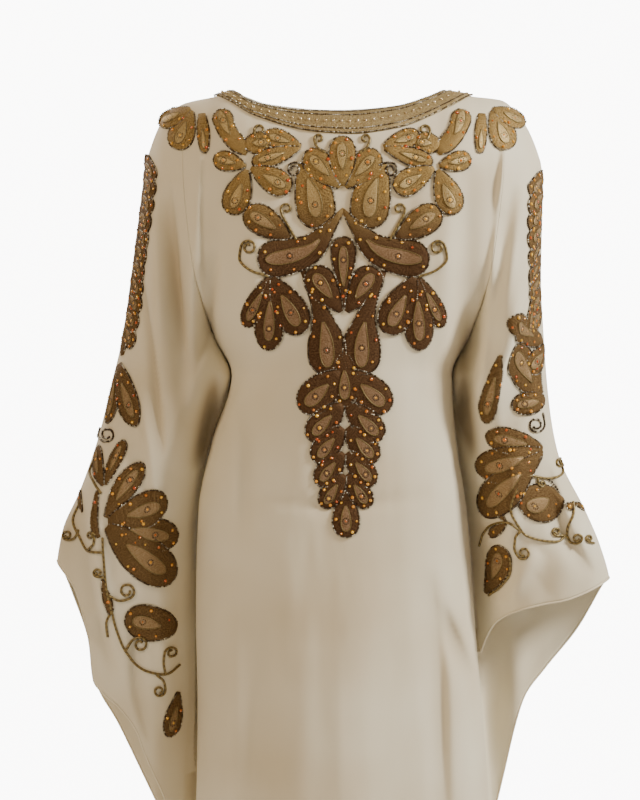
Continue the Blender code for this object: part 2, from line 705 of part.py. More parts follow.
def as_given(x, z):
    return x, z


def build():
    for obj in list(bpy.data.objects):
        bpy.data.objects.remove(obj)
    cloth = material("ivory_georgette", IVORY, 0.7)
    gold = material("antique_gold_embroidery", ANTIQUE_GOLD, 0.5, 0.4)
    bronze = material("dark_bronze_embroidery", DARK_BRONZE, 0.55, 0.3)
    trim = material("gold_neck_band", BAND_GOLD, 0.5, 0.4)
    trees = build_panels(cloth)
    band("neck_band_front", NECK_FRONT, BAND_FRONT_EDGE, "front", trim)
    band("neck_band_back", NECK_BACK, BAND_BACK_EDGE, "back", trim)
    build_motifs(trees, gold, bronze)


build()
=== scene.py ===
"""Dresses the kaftan: finer draped cloth over its six panels, and embroidery, beads and stones over its pads.

Sizes are in millimetres unless a name says otherwise, and each mesh is stored in metres. The front faces -Y, the
wearer's right is -X, and the two halves of the cloth meet in the plane y = 0. A place given "as seen" lies on that
plane and is carried to the cloth along the line of sight from the front.
"""

import functools
import logging
import math
from dataclasses import dataclass, field
from enum import Enum

import bpy
import numpy as np
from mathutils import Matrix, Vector


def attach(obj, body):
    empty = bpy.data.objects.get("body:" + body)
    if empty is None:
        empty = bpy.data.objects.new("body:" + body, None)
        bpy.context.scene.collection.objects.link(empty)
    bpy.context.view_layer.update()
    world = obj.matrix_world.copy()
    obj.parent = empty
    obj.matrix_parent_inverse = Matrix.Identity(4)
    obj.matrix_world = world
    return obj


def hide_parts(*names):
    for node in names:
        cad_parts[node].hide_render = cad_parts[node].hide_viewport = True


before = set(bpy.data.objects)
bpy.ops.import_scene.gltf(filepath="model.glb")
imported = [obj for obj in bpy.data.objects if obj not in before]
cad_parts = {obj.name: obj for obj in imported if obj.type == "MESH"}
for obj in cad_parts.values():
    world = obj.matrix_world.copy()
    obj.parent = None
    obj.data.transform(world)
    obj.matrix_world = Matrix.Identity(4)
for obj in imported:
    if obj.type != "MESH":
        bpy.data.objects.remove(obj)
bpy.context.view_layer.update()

Array = np.ndarray
log = logging.getLogger("kaftan")

MM = 0.001
EYE = np.array([-22.0, -2400.0, -364.0])


class Side(Enum):
    """The front or the back half of the cloth, as the sign of its y."""

    FRONT = -1
    BACK = 1


class Wearer(Enum):
    """The wearer's right or left, as the sign of its x."""

    RIGHT = -1
    LEFT = 1


# Small numeric helpers


def smooth(t: Array | float) -> Array:
    """A ramp from 0 to 1 with level ends: t t (3 - 2 t)."""
    t = np.clip(t, 0, 1)
    return t * t * (3 - 2 * t)


def wander(u: Array, v: Array, seed: float) -> Array:
    """Soft uneven heights from -1 to 1: a fixed height at each whole (u, v), blended by smooth ramps between them.

    Args:
        u: First coordinate, in cells.
        v: Second coordinate, in cells.
        seed: Picks another set of heights.

    Returns:
        The heights, shaped like u and v.
    """
    iu, iv = np.floor(u), np.floor(v)
    fu, fv = smooth(u - iu), smooth(v - iv)

    def corner(a: Array, b: Array) -> Array:
        """The fixed height of one whole place."""
        wave = np.sin(a * 127.1 + b * 311.7 + seed * 74.7) * 43758.5453
        return 2 * (wave - np.floor(wave)) - 1

    low = corner(iu, iv) * (1 - fu) + corner(iu + 1, iv) * fu
    high = corner(iu, iv + 1) * (1 - fu) + corner(iu + 1, iv + 1) * fu
    return low * (1 - fv) + high * fv


def rounded(t: Array | float) -> Array:
    """A fall from 1 to 0 that ends upright: sqrt(1 - t), t from 0 to 1."""
    return np.sqrt(np.clip(1 - t, 0, 1))


def unit(vectors: Array) -> Array:
    """The same directions at length 1."""
    return vectors / np.maximum(np.linalg.norm(vectors, axis=-1, keepdims=True), 1e-9)


def run_along(points: Array) -> Array:
    """Lengths along a line from its first point to each: running sums of the steps' lengths."""
    return np.concatenate([[0], np.cumsum(np.linalg.norm(np.diff(points, axis=0), axis=1))])


@dataclass(frozen=True)
class Table:
    """Rows of sizes under named columns, read between the rows by a cubic that never overshoots them."""

    names: str
    rows: tuple

    @functools.cache
    def column(self, name: str) -> Array:
        """All the sizes of one column, in rising order of the first."""
        return np.array(sorted(self.rows), float)[:, self.names.split().index(name)]

    def at(self, name: str, where: Array | float) -> Array:
        """Sizes of one column at any value of the first.

        Args:
            name: The column.
            where: Values of the first column.

        Returns:
            The sizes there, held level beyond the first and last rows.
        """
        x, y = self.column(self.names.split()[0]), self.column(name)
        step = np.diff(x)
        slope = np.diff(y) / step
        same = slope[1:] * slope[:-1] > 0
        inner = np.where(same, 2 * slope[1:] * slope[:-1] / np.where(same, slope[1:] + slope[:-1], 1), 0)
        slopes = np.concatenate([slope[:1], inner, slope[-1:]])
        where = np.clip(np.asarray(where, float), x[0], x[-1])
        i = np.clip(np.searchsorted(x, where) - 1, 0, len(x) - 2)
        t = (where - x[i]) / step[i]
        rise = (3 - 2 * t) * t * t
        bow = step[i] * (slopes[i] * t * (1 - t) ** 2 - slopes[i + 1] * t * t * (1 - t))
        return y[i] * (1 - rise) + y[i + 1] * rise + bow


def trace(points: Array, stations: Array) -> Array:
    """Places along a smooth line through the points, at fractions of its length.

    Args:
        points: Rows of x and z.
        stations: Fractions from 0 to 1.

    Returns:
        Rows of x and z.
    """
    points = np.asarray(points, float)
    run = run_along(points)
    line = Table("s x z", tuple(map(tuple, np.column_stack([run, points]))))
    where = np.asarray(stations, float) * run[-1]
    return np.stack([line.at("x", where), line.at("z", where)], -1)


# The draped cloth as two depth fields


@dataclass(frozen=True)
class Fold:
    """A soft ridge (height above 0) or trough (below 0) along a line of three points.

    An edge above 0 lets the side on the line's left fall away over that many millimetres, as where one layer of
    cloth lies over the next. An edge below 0 does it on the line's right.
    """

    x1: float
    z1: float
    x2: float
    z2: float
    x3: float
    z3: float
    half_width: float
    height: float
    edge: float = 0.0
    reach: float = 2.6
    shade_from: float = 0.3

    @functools.cache
    def line(self) -> Array:
        """The fold's line as five places along a smooth curve."""
        return trace(np.array([(self.x1, self.z1), (self.x2, self.z2), (self.x3, self.z3)]), np.linspace(0, 1, 6))

    def heights(self, x: Array, z: Array) -> Array:
        """Millimetres above the cloth's form: the fold's height times its share at each place."""
        return self.height * self.share(x, z)

    def shade(self, x: Array, z: Array) -> Array:
        """The painted shade of a trough, from 0: its share to the power 1.5, times its steepness above shade_from.
        """
        steepness = -self.height / self.half_width - self.shade_from
        return max(0.0, steepness) * self.share(x, z) ** 1.5

    def share(self, x: Array, z: Array) -> Array:
        """How much of the fold each place has: a bell across the line, sqrt-like fading at both of its ends.

        Args:
            x: Places across.
            z: Places up.

        Returns:
            Numbers from 0 to 1.
        """
        bend = self.line()
        reach = self.reach * max(self.half_width, abs(self.edge))
        low, high = bend.min(0) - reach, bend.max(0) + reach
        near = (x > low[0]) & (x < high[0]) & (z > low[1]) & (z < high[1])
        found = np.zeros(np.shape(x))
        if not near.any():
            return found
        x, z = x[near], z[near]
        nearest = np.full(x.shape, np.inf)
        place, hand = np.zeros(x.shape), np.ones(x.shape)
        lengths = np.linalg.norm(np.diff(bend, axis=0), axis=1)
        starts = np.concatenate([[0], np.cumsum(lengths)])
        for a, b, start, length in zip(bend[:-1], bend[1:], starts, lengths):
            run = (b - a) / length
            t = np.clip((x - a[0]) * run[0] + (z - a[1]) * run[1], 0, length)
            away_x, away_z = x - a[0] - t * run[0], z - a[1] - t * run[1]
            away = np.hypot(away_x, away_z)
            closer = away < nearest
            nearest = np.where(closer, away, nearest)
            place = np.where(closer, (start + t) / starts[-1], place)
            hand = np.where(closer, np.sign(run[0] * away_z - run[1] * away_x), hand)
        ends = np.sin(np.pi * np.clip(place, 0.0, 1.0)) ** 0.7
        bell = np.exp(-((nearest / self.half_width) ** 2))
        if self.edge:
            steep = np.exp(-((nearest / abs(self.edge)) ** 2))
            bell = np.where(hand * self.edge > 0, steep, bell)
        found[near] = ends * bell
        return found


# Body seams and depths, sleeve folds and depths, and the shoulder line, as the solids have them.
BODY = Table(
    "z left right front back",
    (
        (-4, -184, 194, 112, 92),
        (-100, -181, 190, 116, 98),
        (-220, -166, 174, 122, 100),
        (-290, -147, 155, 124, 100),
        (-333, -128, 136, 124, 100),
        (-412, -151, 141, 121, 97),
        (-496, -168, 154, 119, 98),
        (-620, -171, 163, 121, 102),
        (-728, -169, 172, 126, 108),
        (-820, -170, 179, 132, 114),
        (-1100, -190, 200, 150, 132),
        (-1420, -222, 236, 172, 152),
    ),
)
SLEEVES = {
    Wearer.RIGHT: Table(
        "z outer inner front back",
        (
            (-100, -234, -181, 72, 62),
            (-220, -249, -166, 74, 64),
            (-290, -259, -147, 73, 62),
            (-333, -269, -128, 70, 60),
            (-412, -289, -152.6, 66, 56),
            (-472, -310, -165.4, 62, 52),
            (-520, -331, -170.9, 58, 48),
            (-560, -338, -172.2, 54, 44),
            (-620, -343, -172.5, 49, 40),
            (-728, -350, -170.5, 40, 34),
            (-904, -356, -176, 26, 24),
        ),
    ),
    Wearer.LEFT: Table(
        "z outer inner front back",
        (
            (-100, 246, 190, 72, 62),
            (-220, 243, 174, 76, 64),
            (-290, 246, 155, 75, 63),
            (-333, 249, 136, 72, 60),
            (-380, 254, 140.6, 68, 58),
            (-430, 264, 146.2, 64, 54),
            (-496, 296, 155.8, 60, 50),
            (-538, 314, 159.8, 56, 46),
            (-576, 325, 162.6, 52, 44),
            (-676, 338, 169.3, 42, 38),
            (-818, 345, 180.3, 30, 28),
            (-872, 348, 185, 26, 24),
        ),
    ),
}
CHEST = Table("z front back", ((0, 112, 92), (-60, 118, 100), (-140, 124, 106), (-230, 128, 106), (-333, 128, 102)))
SHOULDER = Table(
    "x z",
    (
        (-234, -100), (-226, -64), (-208, -25), (-184, -8), (-148, 0), (-127, 5), (0, 8), (127, 5), (163, 0),
        (194, -4), (218, -25), (242, -76), (246, -100),
    ),
)
LENGTH = 1420
UNDERARM = -333
SHOULDER_POINTS = {Wearer.RIGHT: (-184, -8), Wearer.LEFT: (194, -4)}
CAPS = {Wearer.RIGHT: (-226, -64), Wearer.LEFT: (242, -76)}
NECKLINES = {
    Side.FRONT: ((-127, 5), (-99, -17), (-46, -28), (7, -30), (61, -24), (103, -9), (127, 5)),
    Side.BACK: ((-127, 5), (-80, -5), (0, -10), (80, -5), (127, 5)),
}
BAND_EDGES = {
    Side.FRONT: ((-149, 0), (-124, -17), (-98, -35), (-23, -57), (16, -59), (65, -52), (128, -23), (161, 0)),
    Side.BACK: ((-149, 0), (-120, -18), (-80, -29), (0, -35), (80, -29), (128, -18), (161, 0)),
}
CUFFS = {
    (Wearer.RIGHT, Side.FRONT): (
        (-337, -556), (-310, -592), (-294, -651), (-289, -695), (-278, -710), (-260, -726), (-239, -754),
        (-230, -780), (-205, -844), (-193, -904),
    ),
    (Wearer.RIGHT, Side.BACK): (
        (-337, -556), (-322, -598), (-304, -652), (-292, -712), (-268, -754), (-240, -810), (-193, -904),
    ),
    (Wearer.LEFT, Side.FRONT): (
        (325, -576), (264, -600), (241, -604), (209, -613), (188, -628), (179, -648), (174, -668),
    ),
    (Wearer.LEFT, Side.BACK): (
        (325, -576), (292, -640), (252, -690), (226, -724), (214, -760), (203, -812), (191, -872),
    ),
}

# The first rows of each are the solids' own folds. The finer ones after them are the scene's.
FOLDS = {
    Side.FRONT: (
        Fold(-200, -118, -184, -262, -178, -400, 14, -10),
        Fold(-218, -150, -208, -300, -192, -450, 18, 8),
        Fold(-147, -110, -139, -190, -156, -360, 24, -8),
        Fold(-284, -412, -286, -520, -284, -640, 20, 12),
        Fold(-316, -470, -320, -540, -310, -620, 20, -10),
        Fold(-236, -640, -232, -720, -214, -800, 18, 6),
        Fold(226, -110, 198, -280, 162, -410, 18, 14),
        Fold(252, -180, 228, -300, 190, -410, 15, -9),
        Fold(150, -90, 143, -230, 146, -330, 17, -8),
        Fold(128, -100, 122, -260, 122, -420, 14, 6),
        Fold(300, -470, 290, -530, 240, -580, 20, 7),
        Fold(112, -620, 136, -650, 156, -690, 15, -5),
        Fold(140, -640, 148, -740, 146, -860, 16, 6),
        Fold(-40, -640, -50, -900, -60, -1180, 40, 6),
        Fold(70, -640, 84, -900, 96, -1180, 36, -6),
        Fold(-199, -108, -189, -180, -180, -310, 14, -12, 3),
        Fold(-230, -212, -214, -322, -204, -430, 9, -9, 2.5),
        Fold(-138, -186, -151, -272, -172, -340, 13, -10, 5),
        Fold(-160, -60, -163, -160, -158, -262, 10, 6, 4),
        Fold(-176, -150, -168, -270, -172, -390, 9, 8),
        Fold(-222, -100, -216, -190, -208, -300, 9, 6),
        Fold(-144, -330, -156, -385, -172, -446, 9, -20),
        Fold(146, -335, 153, -385, 163, -436, 8, -14),
        Fold(-240, -330, -222, -420, -212, -500, 14, 9, -6),
        Fold(-262, -420, -246, -520, -226, -620, 22, 10),
        Fold(-300, -470, -296, -560, -262, -690, 16, -10, 6),
        Fold(-244, -620, -240, -700, -222, -770, 14, -9, -5),
        Fold(-206, -560, -204, -660, -198, -760, 10, 8),
        Fold(243, -96, 222, -214, 178, -366, 24, 14, 4),
        Fold(193, -66, 188, -110, 182, -152, 8, 8, -4),
        Fold(184, -148, 174, -238, 168, -346, 9, 9, -4),
        Fold(214, -106, 203, -182, 180, -292, 9, 8),
        Fold(162, -236, 166, -292, 154, -400, 7, 9, -3),
        Fold(150, -250, 148, -330, 140, -420, 9, -9),
        Fold(204, -420, 200, -500, 190, -590, 16, 9),
        Fold(246, -440, 262, -510, 300, -570, 15, -10, 6),
        Fold(232, -540, 214, -570, 194, -610, 12, 9),
        Fold(100, -120, 96, -220, 104, -360, 16, 6),
        Fold(-104, -130, -100, -260, -118, -380, 18, 6),
        Fold(-118, -360, -108, -430, -112, -520, 14, -8, -8),
        Fold(-110, -470, -20, -484, 110, -474, 9, -4),
        Fold(-140, -560, -128, -700, -132, -860, 20, 9),
        Fold(-96, -540, -84, -720, -90, -940, 26, -9),
        Fold(24, -560, 12, -760, 20, -1000, 34, 8),
        Fold(104, -560, 118, -700, 122, -900, 16, -10, 8),
        Fold(118, -600, 138, -646, 160, -690, 10, -9, 6),
    ),
    Side.BACK: (
        Fold(-196, -120, -184, -260, -178, -400, 14, -8),
        Fold(-214, -160, -206, -320, -190, -460, 16, 7),
        Fold(-150, -100, -142, -200, -156, -360, 20, -6),
        Fold(206, -120, 196, -260, 180, -400, 16, -8),
        Fold(226, -160, 214, -320, 188, -450, 16, 7),
        Fold(158, -100, 150, -210, 156, -350, 20, -6),
        Fold(-20, -120, -14, -360, -24, -620, 26, -5),
        Fold(60, -420, 66, -800, 76, -1200, 34, 6),
        Fold(-80, -460, -92, -820, -110, -1200, 34, 6),
        Fold(-300, -440, -306, -520, -298, -610, 18, 7),
        Fold(290, -440, 300, -520, 296, -600, 18, 7),
        Fold(-222, -100, -214, -220, -204, -360, 12, -6, 5),
        Fold(-176, -140, -170, -270, -170, -400, 9, 5),
        Fold(-262, -400, -246, -520, -226, -640, 20, 7, 8),
        Fold(-236, -640, -230, -720, -206, -810, 16, -6),
        Fold(236, -110, 216, -220, 186, -370, 16, 7, 5),
        Fold(180, -150, 172, -250, 168, -360, 9, -5),
        Fold(252, -430, 246, -540, 226, -650, 18, 7, -8),
        Fold(220, -640, 214, -720, 200, -800, 14, -6),
        Fold(-108, -120, -92, -300, -106, -460, 18, 5),
        Fold(104, -120, 96, -300, 112, -460, 18, 5, 8),
        Fold(24, -160, 30, -420, 20, -700, 24, 5),
        Fold(-60, -500, -40, -560, 60, -566, 16, -4),
        Fold(120, -560, 128, -760, 134, -980, 18, -7),
        Fold(-128, -560, -134, -760, -142, -980, 18, 7),
    ),
}


@dataclass(frozen=True)
class Drape:
    """The worn form of the whole cloth: how far it stands off the seam plane, in front and behind."""

    roundness: float = 2.4
    shoulder_rounding_front: float = 110
    shoulder_rounding_back: float = 130
    chest_blend_top: float = -200
    apex_rise: float = 2.0
    apex_spread: float = 12.0
    relief_from: float = 45
    flutes: int = 9
    flute_top: float = -800
    flute_run: float = 620
    flute_height: float = 11
    back_flute_turn: float = 1
    slope_step: float = 3.0
    softness: float = 2.2
    broad_cell: tuple[float, float] = (46, 210)
    fine_cell: tuple[float, float] = (19, 110)
    small_cell: tuple[float, float] = (9, 48)
    fine_share: float = 0.45
    small_share: float = 0.12
    sway: float = 0.3
    tuck_run: float = 45
    tuck_width: float = 50
    tuck_back: float = 26
    tuck_in: float = 3.2

    def tube(self, x: Array, left: Array, right: Array, most: Array) -> Array:
        """Depth of a tube seen from the front: most times sqrt(1 - |u| ** roundness), u from -1 to 1 across it."""
        across = (x - (left + right) / 2) / ((right - left) / 2)
        return most * rounded(np.abs(across) ** self.roundness)

    def sleeve(self, x: Array, z: Array, wearer: Wearer, side: Side) -> Array:
        """Depth of one sleeve's tube, and 0 below its last row."""
        sizes = SLEEVES[wearer]
        outer, inner = sizes.at("outer", z), sizes.at("inner", z)
        reached = z >= sizes.column("z")[0] - 1
        left, right = np.minimum(outer, inner), np.maximum(outer, inner)
        return reached * self.tube(x, left, right, sizes.at(side.name.lower(), z))

    def unevenness(self, x: Array, z: Array, side: Side) -> Array:
        """Fine uneven relief of hanging georgette: long soft streaks down the cloth, and finer ones on them."""
        seed = 1.0 if side is Side.FRONT else 5.0
        broad = wander(x / self.broad_cell[0], z / self.broad_cell[1], seed)
        fine = wander(x / self.fine_cell[0] + self.sway * broad, z / self.fine_cell[1], seed + 1)
        small = wander(x / self.small_cell[0], z / self.small_cell[1], seed + 2)
        return self.softness * (broad + self.fine_share * fine + self.small_share * small)

    def depth(self, x: Array, z: Array, side: Side) -> Array:
        """Millimetres between the seam plane and the cloth.

        Args:
            x: Places across.
            z: Places up.
            side: The front or the back half.

        Returns:
            The wider of the tubes of body and sleeves, rounded over the shoulders, with its folds.
        """
        x, z = np.broadcast_arrays(np.asarray(x, float), np.asarray(z, float))
        front = side is Side.FRONT
        rounding = self.shoulder_rounding_front if front else self.shoulder_rounding_back
        below = np.clip((SHOULDER.at("z", x) - z) / rounding, 0, 1)
        over_shoulder = np.sqrt(1 - (1 - below) ** 2)
        word = side.name.lower()
        left, right = BODY.at("left", z), BODY.at("right", z)
        body = self.tube(x, left, right, BODY.at(word, z))
        arms = np.maximum(self.sleeve(x, z, Wearer.RIGHT, side), self.sleeve(x, z, Wearer.LEFT, side))
        outer = [SLEEVES[wearer].at("outer", z) for wearer in (Wearer.RIGHT, Wearer.LEFT)]
        whole = self.tube(x, outer[0], outer[1], CHEST.at(word, z))
        parted = smooth((self.chest_blend_top - z) / (self.chest_blend_top - UNDERARM))
        form = over_shoulder * ((1 - parted) * whole + parted * np.maximum(body, arms))
        angle = np.arctan2(x - (left + right) / 2, body + 1)
        turn = 0 if front else self.back_flute_turn
        down = smooth((self.flute_top - z) / self.flute_run)
        flutes = self.flute_height * np.cos(self.flutes * angle + turn) * down
        relief = sum(fold.heights(x, z) for fold in FOLDS[side]) + np.where(body > 0, flutes, 0)
        relief = relief + self.unevenness(x, z, side)
        apexes = (BODY.at("left", UNDERARM), BODY.at("right", UNDERARM))
        spread = self.apex_spread**2
        apex = sum(np.exp(-((x - place) ** 2 + (z - UNDERARM) ** 2) / spread) for place in apexes)
        return form + relief * smooth(form / self.relief_from) + self.apex_rise * apex

    def tucked(self, points: Array, wearer: Wearer) -> Array:
        """A sleeve's points set back beside the body, so that its cloth falls behind the body's edge.

        The share is a ramp down from the underarm times a ramp in toward the sleeve's inner edge. Points move
        back by tuck_back times their share, and toward the body by tuck_in times its cube.

        Args:
            points: Rows of x, y, z in millimetres.
            wearer: Whose sleeve it is.

        Returns:
            The moved points.
        """
        x, z = points[..., 0], points[..., 2]
        away = np.abs(x - SLEEVES[wearer].at("inner", z)) / self.tuck_width
        share = smooth((UNDERARM - z) / self.tuck_run) * smooth(1 - away)
        moved = points.copy()
        moved[..., 0] -= wearer.value * self.tuck_in * share**3
        moved[..., 1] += self.tuck_back * share
        return moved

    def shade(self, x: Array, z: Array, side: Side) -> Array:
        """How much painted shade the folds' troughs give each place, from 0 to 1: the sum of the troughs' shades.
        """
        return np.clip(sum(fold.shade(x, z) for fold in FOLDS[side]), 0, 1)

    def surface(self, x: Array, z: Array, side: Side) -> tuple[Array, Array]:
        """Points on the cloth's outer face and the way it faces there.

        Args:
            x: Places across.
            z: Places up.
            side: The front or the back half.

        Returns:
            Points in millimetres, and unit normals from the depth's slopes.
        """
        h = self.slope_step
        d = self.depth(x, z, side)
        slope_x = (self.depth(x + h, z, side) - self.depth(x - h, z, side)) / (2 * h)
        slope_z = (self.depth(x, z + h, side) - self.depth(x, z - h, side)) / (2 * h)
        points = np.stack([x, side.value * d, z], -1)
        facing = np.stack([-slope_x, np.full_like(d, side.value), -slope_z], -1)
        return points, unit(facing)

    def sighted(self, x: Array, z: Array, side: Side) -> tuple[Array, Array]:
        """Where a place as seen on the seam plane meets the cloth, walked along the line of sight in six steps."""
        px, pz = np.asarray(x, float), np.asarray(z, float)
        for _ in range(6):
            near = 1 + self.depth(px, pz, side) / EYE[1] if side is Side.FRONT else 1.0
            px, pz = EYE[0] + (x - EYE[0]) * near, EYE[2] + (z - EYE[2]) * near
        return px, pz


DRAPE = Drape()


# Meshes gathered part by part


@dataclass
class Assembly:
    """Points, faces, pattern coordinates and tints of one piece, gathered part by part."""

    points: list = field(default_factory=list)
    quads: list = field(default_factory=list)
    triangles: list = field(default_factory=list)
    pattern: list = field(default_factory=list)
    tints: list = field(default_factory=list)
    count: int = 0

    def add(self, points: Array, pattern: Array, tint: Array | float, quads: Array, triangles: Array = ()) -> None:
        """Adds one closed part.

        Args:
            points: Rows of x, y, z in millimetres.
            pattern: Rows of the two coordinates that textures follow.
            tint: One number for each point, or one for all.
            quads: Rows of four indices into points.
            triangles: Rows of three indices into points.
        """
        points = np.reshape(points, (-1, 3))
        self.points.append(points)
        self.pattern.append(np.reshape(pattern, (-1, 2)))
        self.tints.append(np.broadcast_to(np.ravel(tint), (len(points),)))
        self.quads.append(np.reshape(quads, (-1, 4)).astype(int) + self.count)
        self.triangles.append(np.reshape(triangles, (-1, 3)).astype(int) + self.count)
        self.count += len(points)

    def add_cord(self, path: Array, up: Array, radius: float, sides: int, closed: bool, tint: float) -> None:
        """Adds a round cord of one tint along a path."""
        points, pattern, quads, triangles = cord_parts(path, up, radius, sides, closed)
        self.add(points, pattern, tint, quads, triangles)

    def add_beads(self, centres: Array, radii: Array, ups: Array, tints: Array, squash: float = 1.0) -> None:
        """Adds beads, each with its own tint."""
        points, pattern, quads, triangles = bead_parts(centres, radii, ups, squash)
        self.add(points, pattern, np.repeat(tints, BEAD_POINTS), quads, triangles)

    def build(self, name: str, finish: "Finish") -> bpy.types.Object:
        """Makes the object, with its pattern coordinates as a UV map and its tints as an attribute."""
        points = np.concatenate(self.points) * MM
        quads, triangles = np.concatenate(self.quads), np.concatenate(self.triangles)
        corners = np.concatenate([quads.ravel(), triangles.ravel()])
        totals = np.concatenate([np.full(len(quads), 4), np.full(len(triangles), 3)])
        mesh = bpy.data.meshes.new(name)
        mesh.vertices.add(len(points))
        mesh.vertices.foreach_set("co", points.astype(np.float32).ravel())
        mesh.loops.add(len(corners))
        mesh.loops.foreach_set("vertex_index", corners.astype(np.int32))
        mesh.polygons.add(len(totals))
        mesh.polygons.foreach_set("loop_start", (np.cumsum(totals) - totals).astype(np.int32))
        mesh.polygons.foreach_set("loop_total", totals.astype(np.int32))
        mesh.polygons.foreach_set("use_smooth", np.ones(len(totals), bool))
        uv = mesh.uv_layers.new(name="pattern")
        uv.data.foreach_set("uv", np.concatenate(self.pattern)[corners].astype(np.float32).ravel())
        tint = mesh.attributes.new("tint", "FLOAT", "POINT")
        tint.data.foreach_set("value", np.concatenate(self.tints).astype(np.float32))
        mesh.update()
        mesh.validate()
        mesh.materials.append(finish.make())
        made = bpy.data.objects.new(name, mesh)
        bpy.context.scene.collection.objects.link(made)
        return made


def grid_quads(rows: int, columns: int) -> Array:
    """Quads between neighbours of a grid numbered row by row."""
    index = np.arange(rows * columns).reshape(rows, columns)
    return np.stack([index[:-1, :-1], index[:-1, 1:], index[1:, 1:], index[1:, :-1]], -1).reshape(-1, 4)


def walled(outer: Array, inner: Array, pattern: Array, out: Array) -> tuple[Array, Array, Array]:
    """A closed sheet from two matching grids, joined by a strip round their edges.

    Args:
        outer: Grid of points on the outer face.
        inner: Grid of points on the inner face.
        pattern: Grid of pattern coordinates.
        out: The direction the outer face looks, used to turn the faces the right way.

    Returns:
        Points, pattern rows and quads that face outwards.
    """
    rows, columns = outer.shape[:2]
    total = rows * columns
    index = np.arange(total).reshape(rows, columns)
    quads = grid_quads(rows, columns)
    rim = np.concatenate([index[0, :-1], index[:-1, -1], index[-1, :0:-1], index[:0:-1, 0]])
    after = np.roll(rim, -1)
    strip = np.stack([after, rim, rim + total, after + total], -1)
    quads = np.concatenate([quads, quads[:, ::-1] + total, strip])
    i, j = rows // 2, columns // 2
    a, b, c = outer[i, j], outer[i, min(j + 1, columns - 1)], outer[min(i + 1, rows - 1), j]
    if np.dot(np.cross(b - a, c - a), out) < 0:
        quads = quads[:, ::-1]
    points = np.concatenate([outer.reshape(-1, 3), inner.reshape(-1, 3)])
    return points, np.tile(pattern.reshape(-1, 2), (2, 1)), quads


def cord_parts(
    path: Array, up: Array, radius: float, sides: int, closed: bool
) -> tuple[Array, Array, Array, Array]:
    """A round cord along a path: centre + radius (cos a up + sin a across) at each angle a of its ring.

    Args:
        path: Rows of points along the middle.
        up: A unit direction off the cloth at each point.
        radius: The cord's radius.
        sides: How many points go round it.
        closed: Whether the last point joins the first.

    Returns:
        Points, pattern rows (turns round, lengths along in turns), quads and end triangles.
    """
    n = len(path)
    if closed:
        run = np.roll(path, -1, 0) - np.roll(path, 1, 0)
    else:
        run = np.gradient(path, axis=0)
    run = unit(run)
    across = unit(np.cross(run, up))
    lifted = np.cross(across, run)
    angle = np.arange(sides) * 2 * np.pi / sides
    ring = np.cos(angle)[None, :, None] * lifted[:, None] + np.sin(angle)[None, :, None] * across[:, None]
    points = path[:, None] + radius * ring
    far = run_along(path) / (2 * np.pi * radius)
    pattern = np.stack(np.broadcast_arrays(angle[None] / (2 * np.pi), far[:, None]), -1)
    index = np.arange(n * sides).reshape(n, sides)
    following = np.roll(index, -1, 1)
    last = n if closed else n - 1
    ahead = np.roll(index, -1, 0)
    ahead_following = np.roll(following, -1, 0)
    quads = np.stack([index, ahead, ahead_following, following], -1)[:last].reshape(-1, 4)
    points, pattern = points.reshape(-1, 3), pattern.reshape(-1, 2)
    triangles = np.zeros((0, 3), int)
    if not closed:
        points = np.concatenate([points, path[:1], path[-1:]])
        pattern = np.concatenate([pattern, pattern[:1], pattern[-1:]])
        start = np.stack([np.full(sides, n * sides), index[0], following[0]], -1)
        end = np.stack([np.full(sides, n * sides + 1), following[-1], index[-1]], -1)
        triangles = np.concatenate([start, end])
    return points, pattern, quads[:, ::-1], triangles[:, ::-1]


BEAD_POINTS = 14


def bead_parts(centres: Array, radii: Array, ups: Array, squash: float = 1.0) -> tuple[Array, Array, Array, Array]:
    """Beads as small round solids of two rings of six points between two poles, squashed along the way they face.

    Args:
        centres: Rows of points.
        radii: One radius for each.
        ups: One unit direction for each, off the cloth.
        squash: Height over width.

    Returns:
        Points, pattern rows, quads and triangles of all the beads.
    """
    turn = np.arange(6) * np.pi / 3
    rings = []
    for lift, wide, shift in ((0.5, 0.87, 0.0), (-0.5, 0.87, 0.5)):
        angle = turn + shift * np.pi / 3
        rings.append(np.stack([wide * np.cos(angle), wide * np.sin(angle), np.full(6, lift)], -1))
    shape = np.concatenate([*rings, [[0, 0, 1]], [[0, 0, -1]]])
    side = unit(np.cross(ups, [0.31, 0.11, 0.94]))
    third = np.cross(ups, side)
    local = (
        shape[None, :, :1] * side[:, None]
        + shape[None, :, 1:2] * third[:, None]
        + squash * shape[None, :, 2:] * ups[:, None]
    )
    points = centres[:, None] + np.reshape(radii, (-1, 1, 1)) * local
    a = np.arange(6)
    b = (a + 1) % 6
    triangles = np.concatenate(
        [
            np.stack([a, b, np.full(6, 12)], -1),
            np.stack([b + 6, a + 6, np.full(6, 13)], -1),
            np.stack([a, a + 6, b], -1),
            np.stack([b, a + 6, b + 6], -1),
        ]
    )
    faces = (triangles[None] + BEAD_POINTS * np.arange(len(centres))[:, None, None]).reshape(-1, 3)
    return points.reshape(-1, 3), np.zeros((points.size // 3, 2)), np.zeros((0, 4), int), faces


# Finishes


def linear(hexed: str, alpha: float = 1.0) -> tuple[float, float, float, float]:
    """An sRGB hex colour as the linear colour that a shader takes."""
    parts = [int(hexed[i : i + 2], 16) / 255 for i in (1, 3, 5)]
    curved = [c / 12.92 if c <= 0.04045 else ((c + 0.055) / 1.055) ** 2.4 for c in parts]
    return (*curved, alpha)


